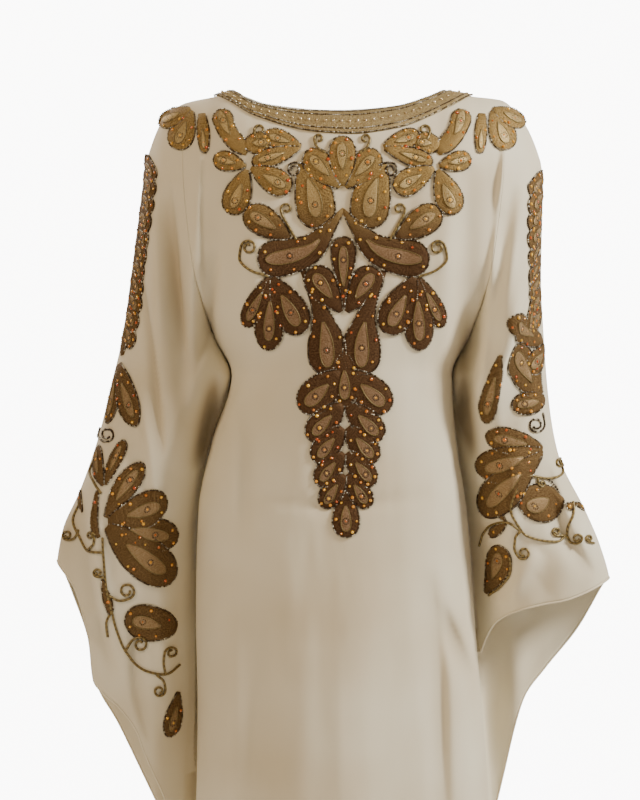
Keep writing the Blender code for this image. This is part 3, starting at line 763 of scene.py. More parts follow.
def add_node(
    tree: bpy.types.NodeTree, kind: str, settings: dict | None = None, first: tuple = (), stops: tuple = (),
    **named: object,
) -> bpy.types.Node:
    """Adds a node with its settings, and sets its inputs or joins them to other nodes' outputs.

    Args:
        tree: Where the node goes.
        kind: The node's type.
        settings: Its own settings, by name.
        first: Values or outputs for its first inputs, in order.
        stops: For a colour ramp, a place from 0 to 1 and a hex colour for each stop.
        named: Values or outputs for inputs by name, with _ for spaces.

    Returns:
        The node.
    """
    made = tree.nodes.new(kind)
    for name, value in (settings or {}).items():
        setattr(made, name, value)
    if stops:
        elements = made.color_ramp.elements
        while len(elements) < len(stops):
            elements.new(0.5)
        for element, (place, color) in zip(elements, stops):
            element.position, element.color = place, linear(color)
    by_name = [(made.inputs[name.replace("_", " ")], value) for name, value in named.items()]
    for socket, value in [*zip(made.inputs, first), *by_name]:
        if isinstance(value, bpy.types.NodeSocket):
            tree.links.new(value, socket)
        else:
            socket.default_value = value
    return made


@dataclass(frozen=True)
class Finish:
    """A surface with one colour. The others below add their own pattern to it."""

    name: str
    color: str
    roughness: float = 0.6
    metallic: float = 0.0
    sheen: float = 0.0
    coat: float = 0.0
    glow: float = 0.0

    def make(self) -> bpy.types.Material:
        """The material, made once and then shared."""
        made = bpy.data.materials.get(self.name)
        if made is None:
            made = bpy.data.materials.new(self.name)
            made.use_nodes = True
            shader = made.node_tree.nodes["Principled BSDF"]
            for word, value in (
                ("Base Color", linear(self.color)),
                ("Roughness", self.roughness),
                ("Metallic", self.metallic),
                ("Sheen Weight", self.sheen),
                ("Coat Weight", self.coat),
                ("Emission Color", linear("#FFFFFF")),
                ("Emission Strength", self.glow),
            ):
                shader.inputs[word].default_value = value
            self.dress(made.node_tree, shader)
        return made

    def dress(self, tree: bpy.types.NodeTree, shader: bpy.types.Node) -> None:
        """Adds the finish's own pattern. A plain one has none."""


@dataclass(frozen=True)
class StudioWhite(Finish):
    """A studio surface that shows only from the side it faces. Its glow is for the camera and lights nothing."""

    def dress(self, tree: bpy.types.NodeTree, shader: bpy.types.Node) -> None:
        """Glow for camera rays alone, and a clear back."""
        seen_by_camera = add_node(tree, "ShaderNodeLightPath").outputs["Is Camera Ray"]
        seen = add_node(tree, "ShaderNodeMath", {"operation": "MULTIPLY"}, (seen_by_camera, self.glow))
        tree.links.new(seen.outputs[0], shader.inputs["Emission Strength"])
        back = add_node(tree, "ShaderNodeNewGeometry").outputs["Backfacing"]
        clear = add_node(tree, "ShaderNodeBsdfTransparent").outputs[0]
        either = add_node(tree, "ShaderNodeMixShader", first=(back, shader.outputs[0], clear))
        tree.links.new(either.outputs[0], tree.nodes["Material Output"].inputs["Surface"])


@dataclass(frozen=True)
class CrepeGeorgette(Finish):
    """Ivory crepe georgette: a fine pebbled grain that scatters the light, so the cloth looks soft and matt.

    The real grain is near 0.4 mm. It is drawn coarser, so that it shows.
    """

    grain_mm: float = 1.1
    grain_depth_mm: float = 0.10
    grain_strength: float = 0.35
    broad_scale: float = 6.0
    shade: str = "#DACDB0"
    # Painted shade: the colour that the tint mixes in where the troughs of the folds lie.
    painted_fold_shade: str = "#AFA083"

    def dress(self, tree: bpy.types.NodeTree, shader: bpy.types.Node) -> None:
        """Grain as a bump, very faint broad changes of colour, and painted shade in the folds' troughs by the tint.
        """
        place = add_node(tree, "ShaderNodeTexCoord").outputs["Object"]
        broad = add_node(tree, "ShaderNodeTexNoise", Vector=place, Scale=self.broad_scale, Detail=2.0)
        tint = add_node(tree, "ShaderNodeAttribute", {"attribute_name": "tint"})
        open_tone = add_node(
            tree, "ShaderNodeValToRGB", stops=((0.3, self.shade), (0.7, self.color)), Fac=broad.outputs["Fac"]
        )
        # The tint mixes painted shade into the cloth's colour in the troughs of the folds.
        tone = add_node(
            tree, "ShaderNodeMix", {"data_type": "RGBA"},
            Factor=tint.outputs["Fac"], A=open_tone.outputs["Color"], B=linear(self.painted_fold_shade),
        )
        tree.links.new(tone.outputs["Result"], shader.inputs["Base Color"])
        grain = add_node(tree, "ShaderNodeTexNoise", Vector=place, Scale=1 / (self.grain_mm * MM), Detail=2.0)
        bump = add_node(
            tree, "ShaderNodeBump",
            Strength=self.grain_strength, Distance=self.grain_depth_mm * MM, Height=grain.outputs["Fac"],
        )
        tree.links.new(bump.outputs["Normal"], shader.inputs["Normal"])


@dataclass(frozen=True)
class ThreadFill(Finish):
    """Couched metal thread laid side by side: painted glints across a petal, and painted shade between the threads.

    The real threads are near 0.5 mm apart. They are drawn further apart, so that they show.
    """

    # The first and third colours of each ramp are painted: shade between the threads and a glint on them.
    painted_gap_shade: str = "#3F2E1A"
    light: str = "#C4A872"
    dark_color: str = "#4B3524"
    dark_painted_gap_shade: str = "#20150E"
    dark_painted_glint: str = "#7C6046"
    thread_mm: float = 1.3
    thread_share: float = 0.25
    waver: float = 1.4
    speckles_per_mm: float = 0.55
    relief_strength: float = 0.8
    relief_mm: float = 0.5
    dull: float = 0.1

    def dress(self, tree: bpy.types.NodeTree, shader: bpy.types.Node) -> None:
        """Threads from the pattern's first coordinate in millimetres, from gold to bronze by the tint."""
        shader.inputs["Specular Tint"].default_value = linear(self.color)
        shader.inputs["Specular IOR Level"].default_value = self.dull
        pattern = add_node(tree, "ShaderNodeTexCoord").outputs["UV"]
        tint = add_node(tree, "ShaderNodeAttribute", {"attribute_name": "tint"})
        wave = add_node(
            tree, "ShaderNodeTexWave", Vector=pattern, Scale=0.31 / self.thread_mm, Distortion=self.waver
        )
        speckle = add_node(
            tree, "ShaderNodeTexNoise", Vector=pattern, Scale=self.speckles_per_mm, Detail=4.0, Roughness=0.75
        )
        lower = add_node(
            tree, "ShaderNodeMath", {"operation": "MULTIPLY"}, (speckle.outputs["Fac"], 1 - self.thread_share)
        )
        both = add_node(
            tree, "ShaderNodeMath", {"operation": "MULTIPLY_ADD"},
            (wave.outputs["Fac"], self.thread_share, lower.outputs[0]),
        ).outputs[0]
        # The ramps paint shade where threads and speckles run low, and glints where they run high.
        gold, bronze = (
            add_node(tree, "ShaderNodeValToRGB", stops=tuple(zip((0.36, 0.5, 0.66), tones)), Fac=both)
            for tones in ((self.painted_gap_shade, self.color, self.light), (self.dark_painted_gap_shade, self.dark_color, self.dark_painted_glint))
        )
        tone = add_node(
            tree, "ShaderNodeMix", {"data_type": "RGBA"},
            Factor=tint.outputs["Fac"], A=gold.outputs["Color"], B=bronze.outputs["Color"],
        )
        tree.links.new(tone.outputs["Result"], shader.inputs["Base Color"])
        bump = add_node(
            tree, "ShaderNodeBump", Strength=self.relief_strength, Distance=self.relief_mm * MM, Height=both
        )
        tree.links.new(bump.outputs["Normal"], shader.inputs["Normal"])


@dataclass(frozen=True)
class Beading(Finish):
    """Beads tinted one by one from their colour to a second: painted glint on metal, another colour on glass
    stones.
    """

    glint_and_second_tone: str = "#FFFFFF"

    def dress(self, tree: bpy.types.NodeTree, shader: bpy.types.Node) -> None:
        """Colour by each bead's tint."""
        tint = add_node(tree, "ShaderNodeAttribute", {"attribute_name": "tint"})
        tone = add_node(
            tree, "ShaderNodeValToRGB", stops=((0.0, self.color), (1.0, self.glint_and_second_tone)), Fac=tint.outputs["Fac"]
        )
        tree.links.new(tone.outputs["Color"], shader.inputs["Base Color"])


@dataclass(frozen=True)
class TwistedCord(Finish):
    """Cord of twisted metal thread: slanting strands with painted shade in the grooves between them."""

    painted_groove_shade: str = "#4A3A22"

    def dress(self, tree: bpy.types.NodeTree, shader: bpy.types.Node) -> None:
        """Slanting strands from the pattern coordinates: turns round plus turns along."""
        pattern = add_node(tree, "ShaderNodeTexCoord").outputs["UV"]
        wave = add_node(
            tree, "ShaderNodeTexWave", {"bands_direction": "DIAGONAL"}, Vector=pattern, Scale=1.0, Distortion=0.3
        )
        # The grooves' colour is painted shade.
        tone = add_node(
            tree, "ShaderNodeValToRGB", stops=((0.1, self.painted_groove_shade), (0.6, self.color)), Fac=wave.outputs["Fac"]
        )
        tree.links.new(tone.outputs["Color"], shader.inputs["Base Color"])


CLOTH = CrepeGeorgette("ivory_crepe_georgette", "#EBE4CD", roughness=0.75, sheen=0.15)
# In the thread finishes the darker and lighter colours are painted shade and painted glints.
PETAL = ThreadFill("couched_gold_thread", "#8C7242", roughness=0.55, metallic=0.2)
TEARDROP = ThreadFill(
    "pale_gold_satin_stitch", "#AE9562", roughness=0.45, metallic=0.3, painted_gap_shade="#836A40", light="#DCC796",
    dark_color="#83684C", dark_painted_gap_shade="#58432F", dark_painted_glint="#B2957A",
)
# The metal beads' second colour is a painted glint; the stones' is another colour of stone.
RIM_BEADS = Beading("dark_bronze_beads", "#3B2C1D", roughness=0.3, metallic=0.7, glint_and_second_tone="#D8D2C0")
PALE_BEADS = Beading("pale_gold_beads", "#C9B184", roughness=0.2, metallic=0.6, glint_and_second_tone="#FFF6E0")
STONES = Beading("amber_glass_stones", "#C2481A", roughness=0.1, metallic=0.1, coat=0.8, glint_and_second_tone="#FFC84A")
CORD = TwistedCord("twisted_olive_gold_cord", "#93804F", roughness=0.45, metallic=0.4)
BRAID = ThreadFill("beaded_gold_braid", "#A08B62", roughness=0.5, metallic=0.3, painted_gap_shade="#6B5836", light="#D2BF94")
STAGE = StudioWhite("plain_white_studio", "#F7F7F6", roughness=0.9)
BACKDROP = StudioWhite("lit_white_backdrop", "#FFFFFF", roughness=0.9, glow=9.0)


# The cloth panels


def crowded(count: int, gather: float) -> Array:
    """Fractions from 0 to 1, closer together at both ends where gather is near 1."""
    t = np.linspace(0, 1, count + 1)
    return (1 - gather) * t + gather * (0.5 - 0.5 * np.cos(np.pi * t))


def patch(edges: tuple[Array, Array], top: Array, bottom: Array, across: Array, fade: tuple[Array, Array]) -> Array:
    """A grid of places between four edges: straight rows between the side edges, bent toward top and bottom.

    Args:
        edges: The first and last side edge, running down.
        top: The top edge, running across.
        bottom: The bottom edge, running across.
        across: Fractions of the columns.
        fade: How much each row keeps of the top's bend and of the bottom's.

    Returns:
        Grid of x and z.
    """
    u = across[None, :, None]
    chords = edges[0][:, None] * (1 - u) + edges[1][:, None] * u
    over, under = top[None] - chords[:1], bottom[None] - chords[-1:]
    return chords + fade[0][:, None, None] * over + fade[1][:, None, None] * under


@dataclass(frozen=True)
class Panel:
    """One piece of the cloth, as a thin closed shell on the drape."""

    name: str
    side: Side
    columns: int
    upper_rows: int
    lower_rows: int
    flat_mm: tuple[float, float]
    wall: float = 1.0
    seam_gap: float = 0.3
    roll: float = 1.3
    armhole_crowding: float = 1.15

    def places(self) -> Array:
        """Grid of x and z of the panel. Each kind of panel has its own."""
        raise NotImplementedError

    def armhole_rows(self, top: float) -> Array:
        """Heights of the rows from the shoulder point to the underarm."""
        return top + (UNDERARM - top) * np.linspace(0, 1, self.upper_rows + 1) ** self.armhole_crowding

    def off_seam(self, points: Array) -> Array:
        """The same points, kept off the seam plane by half a seam's gap."""
        points = points.copy()
        most = self.side.value * self.seam_gap / 2
        keep = np.minimum if self.side is Side.FRONT else np.maximum
        points[..., 1] = keep(points[..., 1], most)
        return points

    def settled(self, points: Array) -> Array:
        """The points where the cloth comes to rest. Only a sleeve's differ from the drape's."""
        return points

    def build(self) -> None:
        """Makes the shell, hides the solid that it replaces, and rolls its hem."""
        grid = self.places()
        points, facing = DRAPE.surface(grid[..., 0], grid[..., 1], self.side)
        outer, inner = self.off_seam(points), self.off_seam(points - self.wall * facing)
        out = np.array([0, self.side.value, 0])
        made = Assembly()
        corners, pattern, quads = walled(outer, inner, grid, out)
        # The tint is painted shade, darker in the troughs of the folds.
        made.add(self.settled(corners), pattern, DRAPE.shade(pattern[:, 0], pattern[:, 1], self.side), quads)
        piece = made.build(f"cloth_{self.name}", CLOTH)
        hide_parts(self.name)
        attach(piece, "root")
        log.info("%s: %d points", piece.name, made.count)
        self.hem((outer[-1] + inner[-1]) / 2, facing[-1])

    def hem(self, edge: Array, up: Array) -> None:
        """A narrow rolled hem along the panel's free lower edge."""
        roll = Assembly()
        points, pattern, quads, triangles = cord_parts(edge, up, self.roll, 7, False)
        roll.add(self.settled(self.off_seam(points)), pattern, 0.0, quads, triangles)
        piece = roll.build(f"rolled_hem_{self.name}", CLOTH)
        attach(piece, "root")


@dataclass(frozen=True)
class BodyPanel(Panel):
    """The front or back of the body, from the neckline and shoulders to the hem."""

    gather: float = 0.62
    neck_fade: float = 150
    row_crowding: float = 1.2

    def places(self) -> Array:
        """Grid of x and z between the two side edges, its top bent to the neckline."""
        down = np.linspace(0, 1, self.lower_rows + 1)[1:] ** self.row_crowding
        lower = down * -(LENGTH + UNDERARM) + UNDERARM
        edges = []
        for wearer, column in ((Wearer.RIGHT, "left"), (Wearer.LEFT, "right")):
            z = np.concatenate([self.armhole_rows(SHOULDER_POINTS[wearer][1]), lower])
            edge = np.stack([BODY.at(column, z), z], -1)
            edge[: self.upper_rows + 1, 0] -= wearer.value * self.seam_gap / 2
            edges.append(edge)
        neck = NECKLINES[self.side]
        across = crowded(self.columns, self.gather)
        ends = [SHOULDER_POINTS[Wearer.RIGHT], (-148, 0)], [(163, 0), SHOULDER_POINTS[Wearer.LEFT]]
        top = trace([*ends[0], *neck, *ends[1]], across)
        on_shoulder = (top[:, 0] < neck[0][0]) | (top[:, 0] > neck[-1][0])
        top[:, 1] = np.where(on_shoulder, SHOULDER.at("z", top[:, 0]), top[:, 1])
        top[0], top[-1] = edges[0][0], edges[1][0]
        bottom = edges[0][-1] * (1 - across[:, None]) + edges[1][-1] * across[:, None]
        fade = 1 - smooth((edges[0][0, 1] - edges[0][:, 1]) / self.neck_fade)
        return patch(tuple(edges), top, bottom, across, (fade, 0 * fade))


@dataclass(frozen=True)
class SleevePanel(Panel):
    """One half of a sleeve, from the sleeve head to its slanting cuff edge."""

    wearer: Wearer = Wearer.RIGHT
    gather: float = 0.55
    cap_end: float = -100
    head_fade: float = 3
    cuff_fade: float = 2.2

    def settled(self, points: Array) -> Array:
        """The points set back beside the body."""
        return DRAPE.tucked(points, self.wearer)

    def overarm(self, z: Array) -> Array:
        """Where the overarm seam stands at each height, along the shoulder line above cap_end."""
        ends = (-234, -184) if self.wearer is Wearer.RIGHT else (246, 194)
        x = np.linspace(*ends, 60)
        on_cap = np.interp(z, SHOULDER.at("z", x), x)
        return np.where(z > self.cap_end, on_cap, SLEEVES[self.wearer].at("outer", z))

    def places(self) -> Array:
        """Grid of x and z between the overarm and the armhole with the underarm."""
        cuff = CUFFS[self.wearer, self.side]
        shoulder, cap = SHOULDER_POINTS[self.wearer], CAPS[self.wearer]
        rows = self.upper_rows + self.lower_rows
        over = np.linspace(cap[1], cuff[0][1], rows + 1)
        outer = np.stack([self.overarm(over), over], -1)
        lower = np.linspace(UNDERARM, cuff[-1][1], self.lower_rows + 1)[1:]
        upper = self.armhole_rows(shoulder[1])
        column = "left" if self.wearer is Wearer.RIGHT else "right"
        armhole = np.stack([BODY.at(column, upper) + self.wearer.value * self.seam_gap / 2, upper], -1)
        under = np.stack([SLEEVES[self.wearer].at("inner", lower), lower], -1)
        inner = np.concatenate([armhole, under])
        across = crowded(self.columns, self.gather)
        head_x = cap[0] + (shoulder[0] - cap[0]) * across
        head = np.stack([head_x, SHOULDER.at("z", head_x)], -1)
        head[0], head[-1] = outer[0], inner[0]
        hem = trace(cuff, across)
        hem[0], hem[-1] = outer[-1], inner[-1]
        v = np.linspace(0, 1, rows + 1)
        return patch((outer, inner), head, hem, across, ((1 - v) ** self.head_fade, v**self.cuff_fade))


# Where embroidery lies


@dataclass(frozen=True)
class YokeSkin:
    """The body's front as the embroiderer's flat work: places are as seen."""

    def lay(self, flat: Array, lift: Array | float) -> tuple[Array, Array]:
        """Points on the cloth raised by a lift, and the way it faces there."""
        x, z = DRAPE.sighted(flat[..., 0], flat[..., 1], Side.FRONT)
        points, facing = DRAPE.surface(x, z, Side.FRONT)
        return points + np.asarray(lift)[..., None] * facing, facing

    def flat(self, seen: Array) -> Array:
        """As-seen places as flat ones, which here are the same."""
        return np.asarray(seen, float)


@dataclass
class SleeveSkin:
    """A sleeve unrolled from its overarm seam: how far round (front above 0, back below) and how high."""

    wearer: Wearer
    reach: float = 175
    edge: float = 3
    seam_turn: float = 12
    steps: int = 160
    heights: Array = field(default_factory=lambda: np.linspace(-112, -900, 90))

    def __post_init__(self) -> None:
        """Measures the way round from the overarm seam at each height: running sums of the steps' lengths."""
        share = np.linspace(0, 1, self.steps) ** 2
        self.inward = share * self.reach
        self.round = {}
        outer = SLEEVES[self.wearer].at("outer", self.heights)
        for side in Side:
            x = outer[:, None] - self.wearer.value * self.inward[None]
            d = DRAPE.depth(x, np.broadcast_to(self.heights[:, None], x.shape), side)
            step = np.hypot(np.diff(x, axis=1), np.diff(d, axis=1))
            self.round[side] = np.concatenate([np.zeros((len(outer), 1)), np.cumsum(step, axis=1)], axis=1)

    def inward_at(self, way: Array, z: Array, side: Side) -> Array:
        """How far inward of the overarm seam a way round it leads, read between the two nearest heights."""
        return self.between(np.array([np.interp(way.ravel(), along, self.inward) for along in self.round[side]]), z)

    def between(self, rows: Array, z: Array) -> Array:
        """One value for each height, read between the two nearest of the measured heights.

        Args:
            rows: The values at each measured height, with a column for each place.
            z: The places' own heights.

        Returns:
            The values, shaped like z.
        """
        place = np.interp(-np.ravel(z), -self.heights, np.arange(len(self.heights)))
        place = np.clip(place, 0, len(rows) - 1.001)
        low = place.astype(int)
        share = place - low
        index = np.arange(rows.shape[1])
        return ((1 - share) * rows[low, index] + share * rows[low + 1, index]).reshape(np.shape(z))

    def lay(self, flat: Array, lift: Array | float) -> tuple[Array, Array]:
        """Points on the sleeve raised by a lift, and the way it faces there."""
        way, z = flat[..., 0], flat[..., 1]
        outer = SLEEVES[self.wearer].at("outer", z)
        most = np.abs(outer - SLEEVES[self.wearer].at("inner", z)) - self.edge
        points, facing = np.zeros((*way.shape, 3)), np.zeros((*way.shape, 3))
        for side in Side:
            own = way >= 0 if side is Side.FRONT else way < 0
            if own.any():
                inward = np.minimum(self.inward_at(np.abs(way[own]), z[own], side), most[own])
                points[own], facing[own] = DRAPE.surface(outer[own] - self.wearer.value * inward, z[own], side)
        near_seam = np.clip(np.abs(way) / self.seam_turn, 0, 1)
        facing = unit(facing * np.stack([np.ones_like(way), near_seam, np.ones_like(way)], -1))
        return DRAPE.tucked(points + np.asarray(lift)[..., None] * facing, self.wearer), facing

    def flat(self, seen: Array) -> Array:
        """As-seen places on the sleeve's front as ways round it and heights."""
        seen = np.asarray(seen, float)
        x, z = DRAPE.sighted(seen[..., 0], seen[..., 1], Side.FRONT)
        inward = np.clip(np.abs(SLEEVES[self.wearer].at("outer", z) - x), 0, self.reach)
        rows = np.array([np.interp(np.ravel(inward), self.inward, along) for along in self.round[Side.FRONT]])
        return np.stack([self.between(rows, z), z], -1)


# The embroidery


@dataclass(frozen=True)
class Petal:
    """A leaf-shaped petal: its tip as seen, its width, and how slim its root is."""

    x: float
    z: float
    width: float
    slim: float = 1.0


@dataclass(frozen=True)
class Blade:
    """A bent leaf: its places as seen from root to tip, each with the full width there, and its teardrop's ends."""

    places: tuple[tuple[float, float, float], ...]
    drop: tuple[float, float] = (0.4, 0.9)


@dataclass(frozen=True)
class Motif:
    """Petals from one root and blades with their own, and the solids that they stand for."""

    nodes: str
    root: tuple[float, float]
    petals: tuple[Petal, ...]
    blades: tuple[Blade, ...] = ()


@dataclass(frozen=True)
class Vine:
    """A cord or bead string through places as seen, with a curl at its end to the left (+) or the right (-)."""

    places: tuple[tuple[float, float], ...]
    curl: float = 0.0
    turns: float = 1.25
    beaded: bool = False

    def line(self) -> Array:
        """The places, then the curl: a circle of shrinking radius, curl (1 - 0.6 share of the turns)."""
        points = np.array(self.places, float)
        if not self.curl:
            return points
        run = points[-1] - points[-2]
        heading, hand, radius = math.atan2(run[1], run[0]), math.copysign(1, self.curl), abs(self.curl)
        angle = np.linspace(0, 2 * np.pi * self.turns, 13)[1:]
        around = heading + hand * (angle - np.pi / 2)
        reach = radius * (1 - 0.6 * angle / angle[-1])
        centre = points[-1] + hand * radius * np.array([-math.sin(heading), math.cos(heading)])
        curl = centre + reach[:, None] * np.stack([np.cos(around), np.sin(around)], -1)
        return np.concatenate([points, curl])


@dataclass
class Leaf:
    """A padded field on the flat work, from root to tip, with its half-widths.

    A petal's half-width is in proportion to s ** slim sqrt(1 - s), s running from its root to its tip. A blade
    reads its widths along its spine and ends in a half round.
    """

    spine: Array
    width: float
    slim: float = 1.0
    widths: tuple = ()
    drop: tuple[float, float] = (0.34, 0.87)
    nearby: float = 0.02

    def __post_init__(self) -> None:
        """Measures the spine."""
        steps = np.linalg.norm(np.diff(self.spine, axis=0), axis=1)
        self.reach = float(steps.sum())
        self.shares = np.concatenate([[0], np.cumsum(steps)]) / self.reach

    def half(self, s: Array) -> Array:
        """Half-widths at shares of the way to the tip."""
        if not self.widths:
            peak = self.slim / (self.slim + 0.5)
            most = peak**self.slim * np.sqrt(1 - peak)
            return self.width / 2 * s**self.slim * rounded(s) / most
        wide = Table("s w", tuple(zip(self.shares, self.widths))).at("w", s)
        cap = 1 - self.widths[-1] / 2 / self.reach
        return wide / 2 * rounded(np.clip((s - cap) / (1 - cap), 0, 1) ** 2)

    def place(self, s: Array, t: Array) -> Array:
        """Flat places at shares s of the way to the tip and t of the half-width, from -1 to 1."""
        axis = trace(self.spine, s)
        ahead, behind = (trace(self.spine, np.clip(s + step, 0, 1)) for step in (self.nearby, -self.nearby))
        run = unit(ahead - behind)
        across = np.stack([-run[..., 1], run[..., 0]], -1)
        return axis + (self.half(s) * t)[..., None] * across


# Stones of a leaf over a least width and reach: shares of the way to its tip and of its half-width, and radii.
STONE_PLACES = (
    (14, 0, ((0.42, 0.68, 2.0), (0.6, -0.72, 2.1), (0.86, 0.6, 2.0))),
    (22, 34, ((0.3, -0.5, 1.7), (0.68, 0.78, 1.8), (0.93, -0.5, 2.0))),
    (0, 80, ((0.24, 0.3, 2.0), (0.5, -0.8, 1.9))),
)


@dataclass
class Needlework:
    """Petals, teardrops, rims, beads and stones of one region, gathered over all its motifs."""

    name: str
    skin: object
    tint_top: float = -100
    tint_run: float = 90
    tint_low: float = 0.0
    tint_high: float = 1.0
    dome: float = 1.7
    rim_lift: float = 0.5
    bead_radius: float = 1.15
    bead_pitch: float = 2.3
    leaf_grid: tuple[int, int] = (15, 9)
    blade_start: float = 0.008
    petal_start: float = 0.04
    tip_share: float = 0.985
    crowding: float = 1.8
    dome_across: float = 2.6
    dome_along: float = 6
    seat: float = 0.1
    drop_grid: tuple[int, int] = (12, 7)
    drop_start: float = 0.03
    drop_width: float = 0.36
    drop_least_leaf: float = 13
    drop_most_share: float = 0.62
    drop_lift: float = 0.15
    drop_dome: float = 0.5
    drop_cord: float = 0.6
    stone_squash: float = 0.8
    rim_places: int = 40
    rim_start: float = 0.06
    rim_crowding: float = 1.6
    ring_beads: int = 10
    ring_radius: float = 3.4
    ring_bead: float = 0.95
    ring_least_leaf: float = 16
    vine_bead_lift: float = 0.9
    vine_bead_pitch: float = 2.2
    vine_bead_radius: float = 1.5
    seed: int = 7

    def __post_init__(self) -> None:
        """Empty assemblies, and draws that are the same each run."""
        self.fills, self.drops, self.rims = Assembly(), Assembly(), Assembly()
        self.stones, self.cords = Assembly(), Assembly()
        self.draws = np.random.default_rng(self.seed)
        self.nodes: list[str] = []

    def tint(self, z: Array) -> Array:
        """From gold above to bronze below."""
        return self.tint_low + (self.tint_high - self.tint_low) * smooth((self.tint_top - z) / self.tint_run)

    def stations(self, start: float, count: int) -> Array:
        """Shares of the way to a tip, closer together toward it: 1 - (1 - u) ** crowding."""
        return 1 - (1 - np.linspace(start, self.tip_share, count)) ** self.crowding

    def leaf(self, leaf: Leaf, lift: float) -> None:
        """Adds one leaf: its padded fill, its bead rim, its teardrop with a cord, and its stones."""
        rows, columns = self.leaf_grid
        s = self.stations(self.blade_start if leaf.widths else self.petal_start, rows)
        t = np.sin(np.linspace(-1, 1, columns) * np.pi / 2)
        ss, tt = np.meshgrid(s, t, indexing="ij")
        flat = leaf.place(ss, tt)
        dome = rounded(np.abs(tt) ** self.dome_across) * rounded(np.abs(2 * ss - 1) ** self.dome_along)
        top, _ = self.skin.lay(flat, lift + self.rim_lift + self.dome * dome)
        low, facing = self.skin.lay(flat, np.full(ss.shape, self.seat))
        pattern = np.stack([ss * leaf.reach, tt * leaf.width / 2], -1)
        corners, pattern, quads = walled(top, low, pattern, facing[rows // 2, columns // 2])
        tint = np.tile(self.tint(flat[..., 1]).ravel(), 2)
        self.fills.add(corners, pattern, tint, quads)
        self.rim(leaf, lift)
        if leaf.width > self.drop_least_leaf:
            self.teardrop(leaf, lift)
        self.scatter(leaf, lift)

    def string(self, flat: Array, lift: float, pitch: float, radius: float) -> None:
        """Dark beads along flat places, one in four with a painted glint from its tint, drawn at random."""
        far = run_along(flat)
        where = np.linspace(0, far[-1], max(4, int(far[-1] / pitch)))
        flat = np.stack([np.interp(where, far, flat[:, 0]), np.interp(where, far, flat[:, 1])], -1)
        centres, facing = self.skin.lay(flat, np.full(len(flat), lift))
        radii = radius * self.draws.uniform(0.85, 1.15, len(flat))
        # Each bead's tint, drawn at random, is its painted glint.
        self.rims.add_beads(centres, radii, facing, self.draws.uniform(0, 1, len(flat)) ** 3)

    def rim(self, leaf: Leaf, lift: float) -> None:
        """A string of beads round the leaf's edge."""
        s = 1 - (1 - np.linspace(self.rim_start, 1, self.rim_places)) ** self.rim_crowding
        s = np.concatenate([s, s[-2::-1]])
        t = np.concatenate([np.ones(self.rim_places), -np.ones(self.rim_places - 1)])
        self.string(leaf.place(s, t), lift + 1.0, self.bead_pitch, self.bead_radius)

    def teardrop(self, leaf: Leaf, lift: float) -> None:
        """The paler teardrop inside the leaf, pointed toward the root, with a fine cord round it."""
        start, end = leaf.drop
        rows, columns = self.drop_grid
        own = self.stations(self.drop_start, rows)
        t = np.sin(np.linspace(-1, 1, columns) * np.pi / 2)
        oo, tt = np.meshgrid(own, t, indexing="ij")
        ss = start + (end - start) * oo
        most = (2 / 3) * math.sqrt(1 / 3)
        wide = self.drop_width * leaf.width * oo * rounded(oo) / most
        share = wide / 2 / np.maximum(leaf.half(ss), 1e-6)
        flat = leaf.place(ss, np.clip(share, 0, self.drop_most_share) * tt)
        height = lift + self.rim_lift + self.dome + self.drop_lift + self.drop_dome * rounded(tt**2)
        top, _ = self.skin.lay(flat, height)
        low, facing = self.skin.lay(flat, np.full(ss.shape, lift + self.dome * 0.6))
        pattern = np.stack([ss * leaf.reach, tt * leaf.width * 0.2], -1)
        corners, pattern, quads = walled(top, low, pattern, facing[rows // 2, columns // 2])
        self.drops.add(corners, pattern, np.tile(self.tint(flat[..., 1]).ravel(), 2), quads)
        edge = np.concatenate([flat[:, 0], flat[-2::-1, -1]])
        path, up = self.skin.lay(edge, np.full(len(edge), lift + self.rim_lift + self.dome + 0.3))
        self.cords.add_cord(path, up, self.drop_cord, 5, True, 0.0)

    def scatter(self, leaf: Leaf, lift: float) -> None:
        """Stones: one in a dark ring on the teardrop, and others between it and the rim."""
        places = [(leaf.drop[0] + 0.66 * (leaf.drop[1] - leaf.drop[0]), 0.0, 2.2)]
        for least_width, least_reach, more in STONE_PLACES:
            if leaf.width > least_width and leaf.reach > least_reach:
                places += more
        s, t, radius = np.array(places).T
        s = np.clip(s + self.draws.uniform(-0.04, 0.04, len(s)), 0.1, 0.95)
        flat = leaf.place(s, t)
        height = lift + self.rim_lift + self.dome * 0.8
        centres, facing = self.skin.lay(flat, np.full(len(s), height))
        radius = radius * self.draws.uniform(0.8, 1.15, len(s))
        self.stones.add_beads(centres, radius, facing, self.draws.uniform(0, 1, len(s)), self.stone_squash)
        if leaf.width > self.ring_least_leaf:
            count = self.ring_beads
            turn = np.arange(count) * np.pi / (count / 2)
            ring = flat[0] + self.ring_radius * np.stack([np.cos(turn), np.sin(turn)], -1)
            centres, facing = self.skin.lay(ring, np.full(count, height + 0.5))
            self.rims.add_beads(centres, np.full(count, self.ring_bead), facing, np.zeros(count))

    def motif(self, motif: Motif, hand: int = 1) -> None:
        """Adds a motif's leaves, each a little above the one before it.

        Args:
            motif: What to add.
            hand: 1 as seen, or -1 for its reflection on the other side of a sleeve's overarm seam.
        """
        other = np.array([hand, 1])
        root = self.skin.flat(motif.root) * other
        for k, petal in enumerate(motif.petals):
            tip = self.skin.flat((petal.x, petal.z)) * other
            self.leaf(Leaf(np.stack([root, tip]), petal.width, petal.slim), 0.4 * (k % 3))
        for k, blade in enumerate(motif.blades):
            places = np.array(blade.places, float)
            spine, widths = self.skin.flat(places[:, :2]) * other, tuple(places[:, 2])
            self.leaf(Leaf(spine, max(widths), widths=widths, drop=blade.drop), 0.3 * (k % 2))
        if hand == 1:
            self.nodes += motif.nodes.split()

